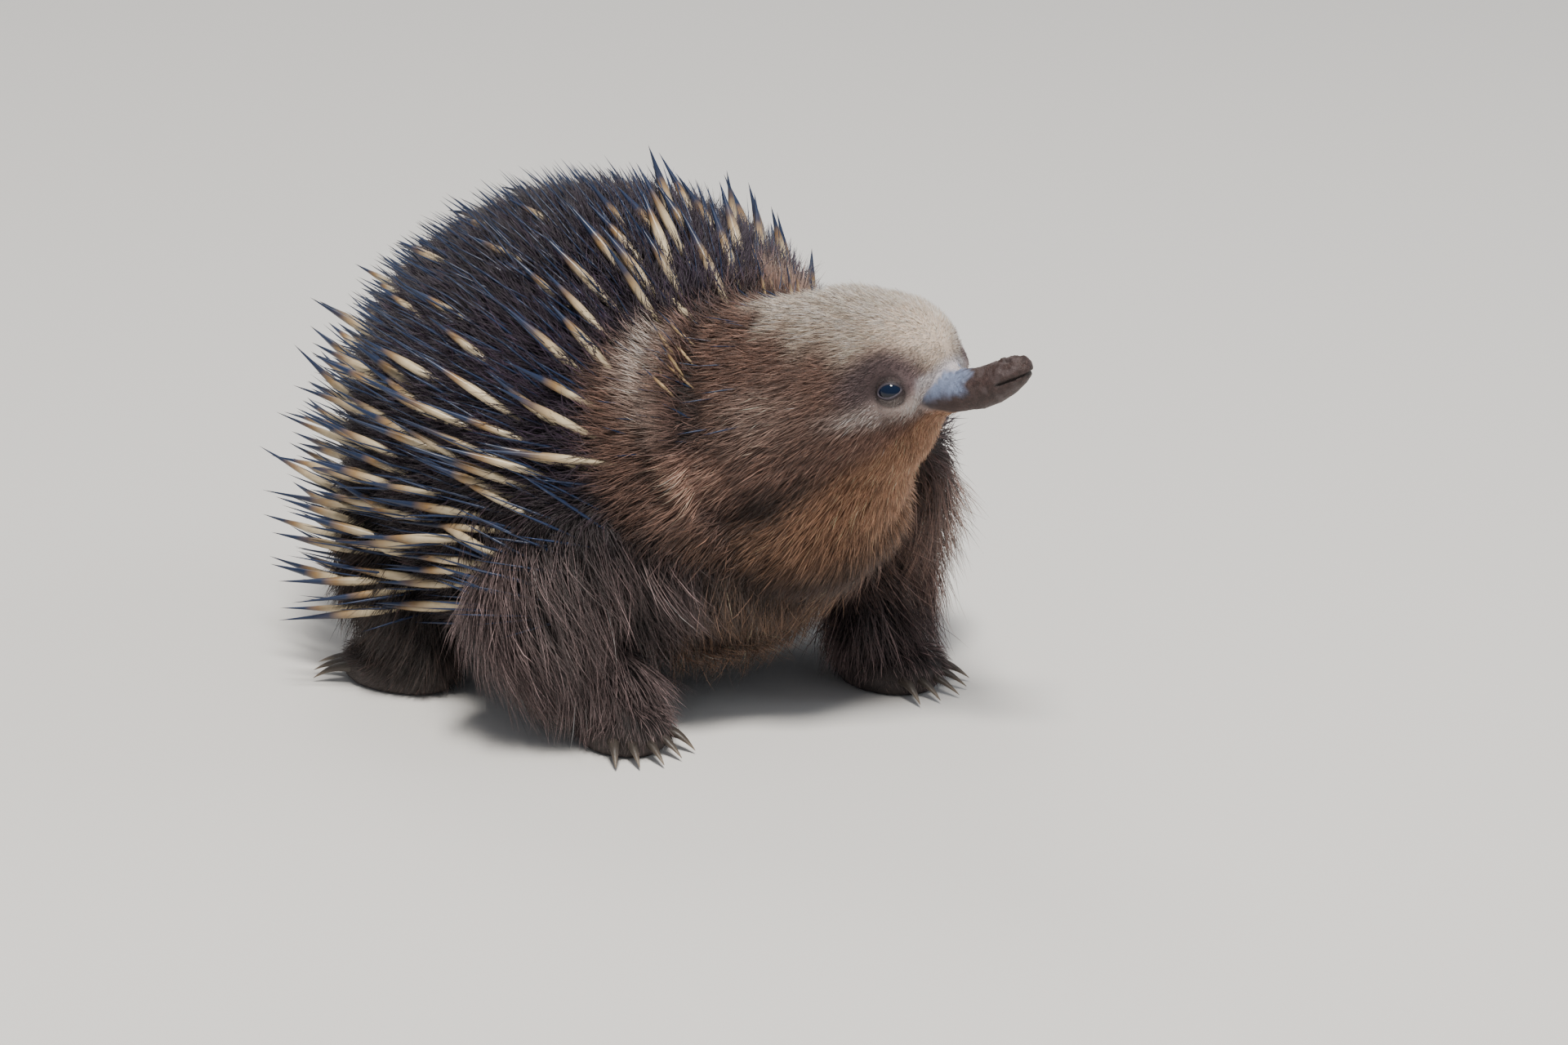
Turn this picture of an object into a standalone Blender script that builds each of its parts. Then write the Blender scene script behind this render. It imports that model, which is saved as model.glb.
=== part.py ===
"""Short-beaked echidna of the long-furred island form, standing with its head raised and turned left.

World units are metres, +Z up. The animal faces -Y, stands on z = 0, and its left side is +X.
The tables of sizes are in millimetres, and point() and MM turn them into metres.
"""

import math

import bmesh
import bpy
import numpy as np
from mathutils import Matrix, Vector
from mathutils.bvhtree import BVHTree

MM = 0.001
GAP = 0.3 * MM
SEED = 11

# Trunk: an egg that is flat at the belly, with the rump and chest as swellings of it
TRUNK_CENTRE = (0, 0, 80)
TRUNK_RADII = (92, 101, 95)
RUMP_CENTRE = (0, 36, 70)
RUMP_RADII = (80, 64, 74)
CHEST_CENTRE = (6, -68, 76)
CHEST_RADII = (62, 48, 46)
BELLY_HEIGHT = 27

# Head: a line from the middle of the neck to the tip of the beak
NECK_CENTRE = (9, -83, 107)
HEAD_TURN = 17
HEAD_RISE = 20

# Stations along that line: distance from the neck, rise above the line, half width, height and depth
HEAD_STATIONS = (
    (-14, 0, 50, 50, 50),
    (8, 1, 46, 46, 46),
    (26, 4.5, 41, 41, 38),
    (42, 8.2, 35.5, 36.5, 30),
    (54, 14, 28.5, 25.5, 29.5),
)
HEAD_STEPS = 4
THROAT_CENTRE = (14, -99, 82)
THROAT_RADII = (38, 24, 28)

# The neck's ball: its distance from the neck's middle, and its radii
NECK_BALL = (-13, (58, 62, 60))

# The head is what lies in this box: its corners along the head's line, to the left and above it
HEAD_BOX = ((-5, -50, -42), (130, 50, 90))

# The bare beak: distance from the neck, rise, half width, half height
BEAK_STATIONS = (
    (64, 1.4, 13, 10),
    (70, 1.2, 11, 8.8),
    (77, 0.4, 8.7, 7.7),
    (84, -0.7, 7.6, 7.2),
    (90, -1.4, 7.1, 7.1),
    (97, -0.7, 6.8, 6.8),
    (103, 0.7, 6.3, 6.3),
    (108, 2.0, 5.2, 5.0),
    (110.6, 2.5, 3.7, 3.6),
    (112, 2.8, 2.0, 2.0),
)
BEAK_SIDES = 14

# The mouth slit starts here along the line, and lies between two rises
MOUTH_BACK = 99.5
MOUTH_RISE = (-1.0, 0.6)
NOSTRIL_PLACE = (104.5, 2.3, 6.8)
NOSTRIL_RADII = (2.6, 0.8, 1.8)

# Eyes and lids, placed along, to the side of and above the head's line
EYE_PLACE = (68.5, 21.7, 7.0)
EYE_RADIUS = 4.6
EYE_SEGMENTS = 12
EYE_RINGS = 8

# The lids: a ring that faces outward and a little forward, this far outside the eye's middle
LID_OUTWARD = (0.94, 0.34)
LID_OUT = 2.4
LID_RING = 4.8
LID_THICKNESS = 1.5
LID_SQUEEZE = 0.8
LID_STEPS = 12
LID_SIDES = 5

# Ears: a crescent fold on a ring round the neck, with a slit along its front
EAR_ALONG = -8
EAR_RING = 49
EAR_ARC = (-16, 70)
EAR_THICKNESS = (5, 8.5)
EAR_STEPS = 8
EAR_TRIANGLES = 260
EAR_SLIT_ARC = (4, 48)
EAR_SLIT_OFFSET = (8, 5)
EAR_SLIT_RADIUS = 4.2
EAR_SLIT_ENDS = 2.5
EAR_SLIT_TRIANGLES = 100
EAR_GAP = 0.6 * MM

# Legs: stations from the shoulder or hip down to the ankle, each a point and a radius
LEGS = {
    "front_right": (((-52, -50, 72), 33), ((-67, -50, 52), 28), ((-62, -56, 30), 21), ((-50, -66, 14), 17)),
    "front_left": (((62, -76, 86), 31), ((70, -66, 58), 27), ((68, -72, 30), 21), ((57, -84, 14), 17)),
    "hind_right": (((-56, 32, 62), 36), ((-70, 26, 40), 28), ((-74, 18, 22), 19), ((-75, 12, 12), 15)),
    "hind_left": (((56, 44, 62), 36), ((70, 42, 40), 28), ((74, 36, 22), 19), ((75, 32, 12), 15)),
}
LEG_ZONES = {"front": (50, 42, 54), "hind": (48, 35, 44)}
LEG_ZONE_OUT = 24
LEG_ZONE_HEIGHT = {"front": 34, "hind": 27}

# Paws: heading in degrees from straight ahead, towards the animal's left
HEADINGS = {"front_right": -10, "front_left": 14, "hind_right": -158, "hind_left": 158}
PAW_RADII = {"front": (18, 23, 13), "hind": (15, 25, 12)}
PAW_REACH = {"front": 6, "hind": 12}
PAW_HEIGHT = 6
PAW_TOP = 15
CLAWS = 5
CLAW_FAN = 50
CLAW_LENGTH = {"front": 15, "hind": 17}
CLAW_RADIUS = 2.4
CLAW_SIDES = 4

# The outer claws are this much shorter. Roots lie at these shares of the paw's half width and half length
CLAW_SHORTER = 0.25
CLAW_ROOTS = (0.62, 0.72)

# A claw's course: share of its length, height over the root, and share of its radius, then its point's drop
CLAW_COURSE = ((-0.3, 0, 1), (0.45, 0.6, 0.85), (0.8, -1.6, 0.5))
CLAW_POINT = -4.2

TAIL_STATIONS = (((0, 88, 56), 16), ((0, 98, 51), 13), ((0, 108, 47), 9))
TAIL_TRIANGLES = 140

FORM_VOXEL = 4
FORM_SMOOTHING = 9
FORM_TRIANGLES = 2900
FAR = 400

# Spiny zone: it starts behind this line of y for each height z, and behind the ears
SPINE_FRONT = ((30, 52, 79, 104, 150), (-14, -32, -55, -72, -90))
SPINE_LOWEST = 34
SPINE_BEHIND_NECK = (-17, -8)
SPINE_NAPE_HEIGHTS = (140, 150)
SPINE_FACES_DOWN = -0.6
SPINE_SPACING = 18.2
SPINE_RADIUS = 1.9
SPINE_SUNK = 9
SPINE_SIDES = 4
SPINE_THICKEST = 0.35
SPINE_ROOT = 0.7

# Spines of the flank, the back's top, the rump and the collar: length out of the body and rise from it
SPINE_FLANK = (45, 18)
SPINE_TOP = (26, 21)
SPINE_RUMP = (34, 28)
SPINE_COLLAR = (28, 30)

# Where these turn into one another: heights of the back, y and heights of the rump, place of the collar
BACK_HEIGHTS = (110, 160)
RUMP_STARTS = (55, 95)
RUMP_HEIGHTS = (90, 140)
COLLAR_STARTS = (-50, -20)

# How the coat lies: backward and fanning out from the neck, or hanging
BACKWARD = (0, 1, 0)
FANNING = 0.0035
HANGING = (0, -0.25, -1)

# How far a spine's lie turns along the surface under it, where 1 is fully
SPINE_FOLLOWS = 0.6

# How far neighbours differ: share of the length, and degrees of rise and sideways turn
SPINE_VARIES = ((0.85, 1.1), 6, 9)
LOCK_VARIES = ((0.8, 1.15), 7, 17)

# Locks of the long coat: spacing, length, width, thickness, rise from the body and sag
LOCKS = {
    "back": (30, 30, 14, 1.4, 20, 0.17),
    "leg": (11.5, 26, 6.5, 1.4, 34, 0.36),
    "chest": (14, 24, 8, 1.4, 32, 0.34),
}
LOCK_SUNK = 5
LOCK_FROM_SPINE = 7
FLOOR_CLEAR = 1

# A lock that would reach the floor is shortened in steps, down to this share of its length
LOCK_SHORTENED = 0.9
LOCK_SHORTEST = 0.3

# A lock's shape: share of its length, of its width and of its thickness, with its root first
LOCK_SHAPE = ((0, 0.6, 0.8), (0.3, 1.0, 1.0), (0.68, 0.7, 0.8))

# Legs with locks: least distance from the middle, and lowest and highest place
LEG_LOCKS_OUT = 38
LEG_LOCKS_HEIGHTS = (17, 78)
LEG_LOCKS_FACE_DOWN = -0.5

# Chest with locks: its middle and half width, its front, its heights, and how near the head it starts
CHEST_LOCKS = (6, 40)
CHEST_LOCKS_FRONT = -78
CHEST_LOCKS_HEIGHTS = (28, 72)
CHEST_LOCKS_END = 30

# Nodes without spines or locks, and how far a place may lie from the node that it belongs to
SHORT_COATED = ("head",)
SITE_ERROR = 0.1

# Places tried on the body and the tail, and the tail's tip with its spines
BODY_TRIALS = 16000
TAIL_TRIALS = 2000
TAIL_TIP = 103
TAIL_SPACING = 9

COAT_BROWN = (0.060, 0.040, 0.030)
FACE_TAN = (0.30, 0.21, 0.14)
LEG_BROWN = (0.12, 0.085, 0.065)
BEAK_BROWN = (0.070, 0.045, 0.032)
EYE_BLACK = (0.008, 0.009, 0.012)
PAW_GREY = (0.09, 0.08, 0.07)


def point(values):
    """A place or size given in millimetres, in metres."""
    return Vector(values) * MM


def head_axes():
    """Unit vectors of the head: forward along the beak, to the animal's right, and up."""
    turn, rise = math.radians(HEAD_TURN), math.radians(HEAD_RISE)
    forward = Vector((math.sin(turn) * math.cos(rise), -math.cos(turn) * math.cos(rise), math.sin(rise)))
    right = forward.cross(Vector((0, 0, 1))).normalized()
    return forward, right, right.cross(forward)


FORWARD, RIGHT, UP = head_axes()


def on_head(along, side=0.0, rise=0.0):
    """The place so many millimetres along the head's line, to its right and above it."""
    return point(NECK_CENTRE) + (FORWARD * along + RIGHT * side + UP * rise) * MM


HEAD_TURNING = Matrix((FORWARD, -RIGHT, UP)).transposed()


# Scene and mesh helpers

def clear_scene():
    for obj in list(bpy.data.objects):
        bpy.data.objects.remove(obj)


def new_collection(name):
    made = bpy.data.collections.new(name)
    bpy.context.scene.collection.children.link(made)
    return made


def remove_collection(collection):
    for obj in list(collection.objects):
        bpy.data.objects.remove(obj)
    bpy.data.collections.remove(collection)


def material(name, colour, roughness):
    made = bpy.data.materials.new(name)
    made.use_nodes = True
    shader = made.node_tree.nodes["Principled BSDF"]
    shader.inputs["Base Color"].default_value = (*colour, 1)
    shader.inputs["Roughness"].default_value = roughness
    return made


def object_of(name, form, collection):
    """A mesh object from a bmesh, which is freed."""
    bmesh.ops.recalc_face_normals(form, faces=form.faces)
    mesh = bpy.data.meshes.new(name)
    form.to_mesh(mesh)
    form.free()
    obj = bpy.data.objects.new(name, mesh)
    collection.objects.link(obj)
    return obj


def add_ball(form, centre, radii, turning=None, detail=3):
    """Adds an ellipsoid, with its axes along the columns of turning."""
    turned = turning.to_4x4() if turning else Matrix.Identity(4)
    place = Matrix.Translation(centre) @ turned @ Matrix.Diagonal((*radii, 1))
    bmesh.ops.create_icosphere(form, subdivisions=detail, radius=1, matrix=place)


def add_chain(form, stations, steps=5):
    """Adds a row of balls between neighbouring stations, each a point and a radius in millimetres."""
    for (start, first), (end, last) in zip(stations, stations[1:]):
        for i in range(steps + 1):
            share = i / steps
            radius = (first + (last - first) * share) * MM
            add_ball(form, point(start).lerp(point(end), share), (radius,) * 3, detail=2)


def add_tube(form, rings, pointed=False):
    """Adds a closed tube through rings of points. With pointed, the last ring is one point."""
    rows = [[form.verts.new(place) for place in ring] for ring in rings]
    sides = len(rows[0])
    full = rows[:-1] if pointed else rows
    for low, high in zip(full, full[1:]):
        for i in range(sides):
            j = (i + 1) % sides
            form.faces.new((low[i], low[j], high[j], high[i]))
    form.faces.new(rows[0][::-1])
    if not pointed:
        form.faces.new(rows[-1])
        return
    for i in range(sides):
        form.faces.new((full[-1][i], full[-1][(i + 1) % sides], rows[-1][0]))


def ring(centre, across, along, sides, phase=0.0):
    """Points of an ellipse whose half axes are the vectors across and along."""
    turns = [2 * math.pi * (i + phase) / sides for i in range(sides)]
    return [centre + across * math.cos(turn) + along * math.sin(turn) for turn in turns]


def box(name, low, high, collection, place=None):
    """A box between two corners in millimetres, in the frame of the matrix place."""
    low, high = point(low), point(high)
    inner = Matrix.Translation((low + high) / 2) @ Matrix.Diagonal((*(high - low), 1))
    form = bmesh.new()
    bmesh.ops.create_cube(form, size=1, matrix=(place or Matrix.Identity(4)) @ inner)
    return object_of(name, form, collection)


def applied(obj):
    """Replaces the object's mesh by its evaluated one and drops its modifiers."""
    graph = bpy.context.evaluated_depsgraph_get()
    mesh = bpy.data.meshes.new_from_object(obj.evaluated_get(graph))
    obj.modifiers.clear()
    obj.data = mesh
    return obj


def copy_of(obj, name, collection):
    made = bpy.data.objects.new(name, obj.data.copy())
    collection.objects.link(made)
    return made


def boolean(obj, operation, cutter):
    """Joins, cuts or trims the object by another object, and applies it."""
    change = obj.modifiers.new(operation.lower(), "BOOLEAN")
    change.operation = operation
    change.object = cutter
    change.solver = "MANIFOLD"
    return applied(obj)


def grown(obj, collection, by=GAP):
    """A copy whose surface lies a little outside the object's."""
    made = copy_of(obj, obj.name + "_grown", collection)
    form = bmesh.new()
    form.from_mesh(made.data)
    form.normal_update()
    for vert, shift in [(vert, vert.normal * by) for vert in form.verts]:
        vert.co += shift
    form.to_mesh(made.data)
    form.free()
    return made


def islands_of(form):
    """The sets of vertices that are joined by edges."""
    unseen, islands = set(form.verts), []
    while unseen:
        stack = [unseen.pop()]
        island = set(stack)
        while stack:
            for edge in stack.pop().link_edges:
                fresh = [vert for vert in edge.verts if vert in unseen]
                unseen.difference_update(fresh)
                island.update(fresh)
                stack.extend(fresh)
        islands.append(island)
    return islands


def room_inside(island):
    """Six times the volume that an island's faces enclose."""
    total = 0.0
    for face in {face for vert in island for face in vert.link_faces}:
        corners = [vert.co for vert in face.verts]
        for second, third in zip(corners[1:], corners[2:]):
            total += corners[0].dot(second.cross(third))
    return total


def keep_largest(obj):
    """Keeps only the closed surface that holds the most."""
    form = bmesh.new()
    form.from_mesh(obj.data)
    islands = sorted(islands_of(form), key=room_inside)
    for island in islands[:-1]:
        bmesh.ops.delete(form, geom=list(island), context="VERTS")
    form.to_mesh(obj.data)
    form.free()
    return obj


def fused(name, form, collection, triangles, voxel=FORM_VOXEL, smoothing=FORM_SMOOTHING):
    """One smooth closed mesh round everything in the bmesh, thinned to about that many triangles."""
    obj = object_of(name, form, collection)
    remesh = obj.modifiers.new("fuse", "REMESH")
    remesh.mode = "VOXEL"
    remesh.voxel_size = voxel * MM
    smooth = obj.modifiers.new("smooth", "SMOOTH")
    smooth.factor = 0.5
    smooth.iterations = smoothing
    applied(obj)
    count = sum(len(face.vertices) - 2 for face in obj.data.polygons)
    thin = obj.modifiers.new("thin", "DECIMATE")
    thin.ratio = min(1.0, triangles / count)
    return applied(obj)


# Plain forms

def heading(name):
    """Unit vectors of a paw: along its heading and to the left of it."""
    angle = math.radians(HEADINGS[name])
    ahead = Vector((math.sin(angle), -math.cos(angle), 0))
    return ahead, Vector((-ahead.y, ahead.x, 0))


def kind_of(name):
    return name.split("_")[0]


def paw_centre(name):
    """The middle of a paw, in millimetres."""
    ankle = Vector(LEGS[name][-1][0])
    place = ankle + heading(name)[0] * PAW_REACH[kind_of(name)]
    return Vector((place.x, place.y, PAW_HEIGHT))


def add_trunk(form):
    """Adds the trunk, rump and chest, cut flat at the belly."""
    trunk = bmesh.new()
    for centre, radii in (
        (TRUNK_CENTRE, TRUNK_RADII),
        (RUMP_CENTRE, RUMP_RADII),
        (CHEST_CENTRE, CHEST_RADII),
    ):
        add_ball(trunk, point(centre), point(radii), detail=4)
    everything = trunk.verts[:] + trunk.edges[:] + trunk.faces[:]
    cut = bmesh.ops.bisect_plane(
        trunk, geom=everything, plane_co=(0, 0, BELLY_HEIGHT * MM), plane_no=(0, 0, 1), clear_inner=True
    )
    rim = [item for item in cut["geom_cut"] if isinstance(item, bmesh.types.BMEdge)]
    bmesh.ops.holes_fill(trunk, edges=rim)
    mesh = bpy.data.meshes.new("trunk")
    trunk.to_mesh(mesh)
    trunk.free()
    form.from_mesh(mesh)
    bpy.data.meshes.remove(mesh)


def add_head(form):
    """Adds balls along the head's line, from the neck to the forehead, and one for the throat."""
    for first, second in zip(HEAD_STATIONS, HEAD_STATIONS[1:]):
        for i in range(HEAD_STEPS + 1):
            along, rise, width, height, depth = blend(first, second, i / HEAD_STEPS)
            add_ball(form, on_head(along, 0, rise), point((depth, width, height)), HEAD_TURNING)
    add_ball(form, point(THROAT_CENTRE), point(THROAT_RADII))


def body_form(collection):
    """Trunk, head, legs and feet as one smooth skin, cut flat at the soles."""
    form = bmesh.new()
    add_trunk(form)
    add_head(form)
    for name, leg in LEGS.items():
        add_chain(form, leg)
        ahead, left = heading(name)
        turning = Matrix((left, ahead, (0, 0, 1))).transposed()
        add_ball(form, point(paw_centre(name)), point(PAW_RADII[kind_of(name)]), turning)
    body = fused("body", form, collection, FORM_TRIANGLES)
    return boolean(body, "DIFFERENCE", box("floor", (-FAR, -FAR, -FAR), (FAR, FAR, 0), collection))


def beak_form(parts):
    """The beak as a tube of ellipses, before its mouth and nostrils are cut."""
    form = bmesh.new()
    rings = []
    for along, rise, width, height in BEAK_STATIONS:
        rings.append(ring(on_head(along, 0, rise), RIGHT * width * MM, UP * height * MM, BEAK_SIDES))
    add_tube(form, rings)
    return object_of("beak", form, parts)


def cut_mouth_and_nostrils(beak, cutters):
    """A slit under the tip of the beak and two slots on top of it."""
    place = Matrix.Translation(point(NECK_CENTRE)) @ HEAD_TURNING.to_4x4()
    low, high = MOUTH_RISE
    boolean(beak, "DIFFERENCE", box("mouth", (MOUTH_BACK, -FAR, low), (FAR, FAR, high), cutters, place))
    along, side, rise = NOSTRIL_PLACE
    for sign in (1, -1):
        form = bmesh.new()
        add_ball(form, on_head(along, sign * side, rise), point(NOSTRIL_RADII), HEAD_TURNING, detail=2)
        boolean(beak, "DIFFERENCE", object_of("nostril", form, cutters))
    return keep_largest(beak)


def eye_form(name, sign, parts):
    along, side, rise = EYE_PLACE
    form = bmesh.new()
    place = Matrix.Translation(on_head(along, sign * side, rise))
    bmesh.ops.create_uvsphere(
        form, u_segments=EYE_SEGMENTS, v_segments=EYE_RINGS, radius=EYE_RADIUS * MM, matrix=place
    )
    return object_of(name, form, parts)


def add_lids(head, sign, cutters):
    """Joins a squeezed ring round the eye to the head, as its upper and lower lid."""
    along, side, rise = EYE_PLACE
    outward = (RIGHT * sign * LID_OUTWARD[0] + FORWARD * LID_OUTWARD[1]).normalized()
    level = outward.cross(UP).normalized()
    centre = on_head(along, sign * side, rise) + outward * LID_OUT * MM
    thick = LID_THICKNESS * MM
    form = bmesh.new()
    rows = []
    for i in range(LID_STEPS):
        turn = 2 * math.pi * i / LID_STEPS
        spoke = level * math.cos(turn) + UP * math.sin(turn) * LID_SQUEEZE
        circle = ring(centre + spoke * LID_RING * MM, spoke.normalized() * thick, outward * thick, LID_SIDES)
        rows.append([form.verts.new(place) for place in circle])
    for low, high in zip(rows, rows[1:] + rows[:1]):
        for i in range(LID_SIDES):
            j = (i + 1) % LID_SIDES
            form.faces.new((low[i], low[j], high[j], high[i]))
    boolean(head, "UNION", object_of("lids", form, cutters))


def ear_arc(arc, ring_radius, along, radii, sign):
    """Stations of an arc round the head's line, thicker in its middle."""
    stations = []
    for i in range(EAR_STEPS + 1):
        share = i / EAR_STEPS
        angle = math.radians(arc[0] + (arc[1] - arc[0]) * share)
        side, rise = ring_radius * math.cos(angle), ring_radius * math.sin(angle)
        radius = radii[0] + (radii[1] - radii[0]) * math.sin(math.pi * share)
        stations.append((on_head(along, sign * side, rise) / MM, radius))
    return stations


def ear_form(name, sign, parts):
    form = bmesh.new()
    add_chain(form, ear_arc(EAR_ARC, EAR_RING, EAR_ALONG, EAR_THICKNESS, sign), steps=2)
    return fused(name, form, parts, EAR_TRIANGLES, voxel=2, smoothing=4)


def cut_ear_slit(ear, sign, cutters):
    """The cup of the ear: a groove along the front of its fold."""
    forward, outward = EAR_SLIT_OFFSET
    radii = (EAR_SLIT_ENDS, EAR_SLIT_RADIUS)
    arc = ear_arc(EAR_SLIT_ARC, EAR_RING + outward, EAR_ALONG + forward, radii, sign)
    form = bmesh.new()
    add_chain(form, arc, steps=2)
    boolean(ear, "DIFFERENCE", fused("slit", form, cutters, EAR_SLIT_TRIANGLES, voxel=1.5, smoothing=1))
    return keep_largest(ear)


def tail_form(parts):
    form = bmesh.new()
    add_chain(form, TAIL_STATIONS)
    return fused("tail", form, parts, TAIL_TRIANGLES, voxel=3, smoothing=4)


def add_claws(paw, name, collection):
    """Joins a fan of five curved claws to the front of a paw."""
    ahead, left = heading(name)
    kind = kind_of(name)
    width, length, _ = PAW_RADII[kind]
    for i in range(CLAWS):
        share = i / (CLAWS - 1) * 2 - 1
        fan = math.radians(CLAW_FAN / 2 * share)
        out = ahead * math.cos(fan) + left * math.sin(fan)
        base = paw_centre(name) + left * share * width * CLAW_ROOTS[0]
        base += ahead * length * CLAW_ROOTS[1] * math.cos(fan)
        add_claw(collection, base, out, CLAW_LENGTH[kind] * (1 - CLAW_SHORTER * abs(share)))
    return join_all(paw, collection)


def add_claw(collection, base, out, reach):
    """Adds one claw from its base in the direction out."""
    side, up = Vector((-out.y, out.x, 0)), Vector((0, 0, 1))
    rings = []
    for share, height, radius in CLAW_COURSE:
        thick = radius * CLAW_RADIUS * MM
        middle = point(base + out * reach * share + up * height)
        rings.append(ring(middle, side * thick, up * thick, CLAW_SIDES))
    rings.append([point(base + out * reach + up * CLAW_POINT)])
    form = bmesh.new()
    add_tube(form, rings, pointed=True)
    object_of("claw", form, collection)


def join_all(obj, collection):
    """One union of the object with everything in the collection, which is then removed."""
    change = obj.modifiers.new("join", "BOOLEAN")
    change.operation = "UNION"
    change.operand_type = "COLLECTION"
    change.collection = collection
    change.solver = "MANIFOLD"
    applied(obj)
    remove_collection(collection)
    return keep_largest(obj)


# Parting the body into nodes

def zone(name, centre, radii, collection, turning=None):
    form = bmesh.new()
    add_ball(form, centre, radii, turning, detail=2)
    return object_of(name, form, collection)


def leg_zone(name, collection):
    """An ellipsoid that holds one leg and its root in the trunk."""
    top, ankle = Vector(LEGS[name][0][0]), Vector(LEGS[name][-1][0])
    outward = math.copysign(LEG_ZONE_OUT, top.x)
    kind = kind_of(name)
    centre = Vector((top.x + outward, (top.y + ankle.y) / 2, LEG_ZONE_HEIGHT[kind]))
    return zone("zone_" + name, point(centre), point(LEG_ZONES[kind]), collection)


def part_body(parts, cutters):
    """Parts the body into torso, neck, head, legs and paws with thin gaps between them."""
    body = body_form(cutters)
    gap = Vector((GAP / MM,) * 3)
    place = Matrix.Translation(point(NECK_CENTRE)) @ HEAD_TURNING.to_4x4()
    low, high = (Vector(corner) for corner in HEAD_BOX)
    head_box = box("head_box", low, high, cutters, place)
    head_wide = box("head_wide", low - gap, high + gap, cutters, place)
    neck_ball = zone("neck_ball", on_head(NECK_BALL[0]), point(NECK_BALL[1]), cutters, HEAD_TURNING)
    neck_wide = grown(neck_ball, cutters)

    nodes = {"head": boolean(copy_of(body, "head", parts), "INTERSECT", head_box)}
    nodes["neck"] = boolean(copy_of(body, "neck", parts), "INTERSECT", neck_ball)
    boolean(nodes["neck"], "DIFFERENCE", head_wide)
    torso = nodes["torso"] = boolean(copy_of(body, "torso", parts), "DIFFERENCE", head_wide)
    boolean(torso, "DIFFERENCE", neck_wide)

    sole = box("sole", (-FAR, -FAR, -FAR), (FAR, FAR, PAW_TOP), cutters)
    sole_wide = box("sole_wide", (-FAR, -FAR, -FAR), (FAR, FAR, PAW_TOP + gap.z), cutters)
    for name in LEGS:
        hold = leg_zone(name, cutters)
        leg = boolean(copy_of(body, "leg_" + name, parts), "INTERSECT", hold)
        boolean(leg, "DIFFERENCE", neck_wide)
        boolean(leg, "DIFFERENCE", head_wide)
        nodes["paw_" + name] = boolean(copy_of(leg, "paw_" + name, parts), "INTERSECT", sole)
        nodes["leg_" + name] = boolean(leg, "DIFFERENCE", sole_wide)
        boolean(torso, "DIFFERENCE", grown(hold, cutters))
    for node in nodes.values():
        keep_largest(node)
    return body, nodes


def add_features(nodes, parts, cutters):
    """Adds beak, eyes, ears, tail and claws, and cuts their seats in the neighbours."""
    beak = nodes["beak"] = beak_form(parts)
    boolean(nodes["head"], "DIFFERENCE", grown(beak, cutters))
    cut_mouth_and_nostrils(beak, cutters)
    for side, sign in (("right", 1), ("left", -1)):
        add_lids(nodes["head"], sign, cutters)
        eye = nodes["eye_" + side] = eye_form("eye_" + side, sign, parts)
        boolean(nodes["head"], "DIFFERENCE", grown(eye, cutters))
        ear = nodes["ear_" + side] = ear_form("ear_" + side, sign, parts)
        ear_wide = grown(ear, cutters, EAR_GAP)
        for name in ("neck", "head", "torso"):
            boolean(nodes[name], "DIFFERENCE", ear_wide)
        cut_ear_slit(ear, sign, cutters)
    tail = nodes["tail"] = tail_form(parts)
    boolean(nodes["torso"], "DIFFERENCE", grown(tail, cutters))
    for name in LEGS:
        add_claws(nodes["paw_" + name], name, new_collection("claws"))
    for name in ("head", "neck", "torso"):
        keep_largest(nodes[name])


# Spines and locks

def samples(body, count, seeded):
    """Random places on the body with their normals, spread by area."""
    mesh = body.data
    mesh.calc_loop_triangles()
    corners = np.array([[mesh.vertices[i].co for i in face.vertices] for face in mesh.loop_triangles])
    normals = np.array([[mesh.vertices[i].normal for i in face.vertices] for face in mesh.loop_triangles])
    areas = np.linalg.norm(np.cross(corners[:, 1] - corners[:, 0], corners[:, 2] - corners[:, 0]), axis=1)
    picks = seeded.choice(len(areas), count, p=areas / areas.sum())
    shares = seeded.dirichlet((1, 1, 1), count)[:, :, None]
    return (corners[picks] * shares).sum(axis=1), (normals[picks] * shares).sum(axis=1)


def spread(places, normals, allowed, spacing, taken=(), clear=0.0):
    """Keeps allowed places, as (place, normal), that are no closer than spacing to one another.

    They also keep clear of the places already taken.
    """
    chosen, others = [], [place for place, _ in taken]
    kept = np.empty((0, 3))
    others = np.array(others).reshape(-1, 3)
    for place, normal in zip(places, normals):
        if not allowed(place / MM, normal):
            continue
        if len(kept) and np.linalg.norm(kept - place, axis=1).min() < spacing * MM:
            continue
        if len(others) and np.linalg.norm(others - place, axis=1).min() < clear * MM:
            continue
        kept = np.vstack([kept, place])
        chosen.append((Vector(place), Vector(normal).normalized()))
    return chosen


def along_head(place):
    """How far a place in millimetres lies along the head's line from the neck."""
    return (Vector(place) - Vector(NECK_CENTRE)).dot(FORWARD)


def has_spines(place, normal):
    x, y, z = place
    if z < SPINE_LOWEST or normal[2] < SPINE_FACES_DOWN or y < np.interp(z, *SPINE_FRONT):
        return False
    side, top = SPINE_BEHIND_NECK
    return along_head(place) < side + (top - side) * smooth_step(*SPINE_NAPE_HEIGHTS, z)


def has_leg_locks(place, normal):
    x, y, z = place
    low, high = LEG_LOCKS_HEIGHTS
    outside = abs(x) > LEG_LOCKS_OUT and low < z < high and normal[2] > LEG_LOCKS_FACE_DOWN
    return outside and not has_spines(place, normal)


def has_chest_locks(place, normal):
    x, y, z = place
    middle, half = CHEST_LOCKS
    low, high = CHEST_LOCKS_HEIGHTS
    in_front = abs(x - middle) < half and y < CHEST_LOCKS_FRONT and low < z < high
    return in_front and along_head(place) < CHEST_LOCKS_END


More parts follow.
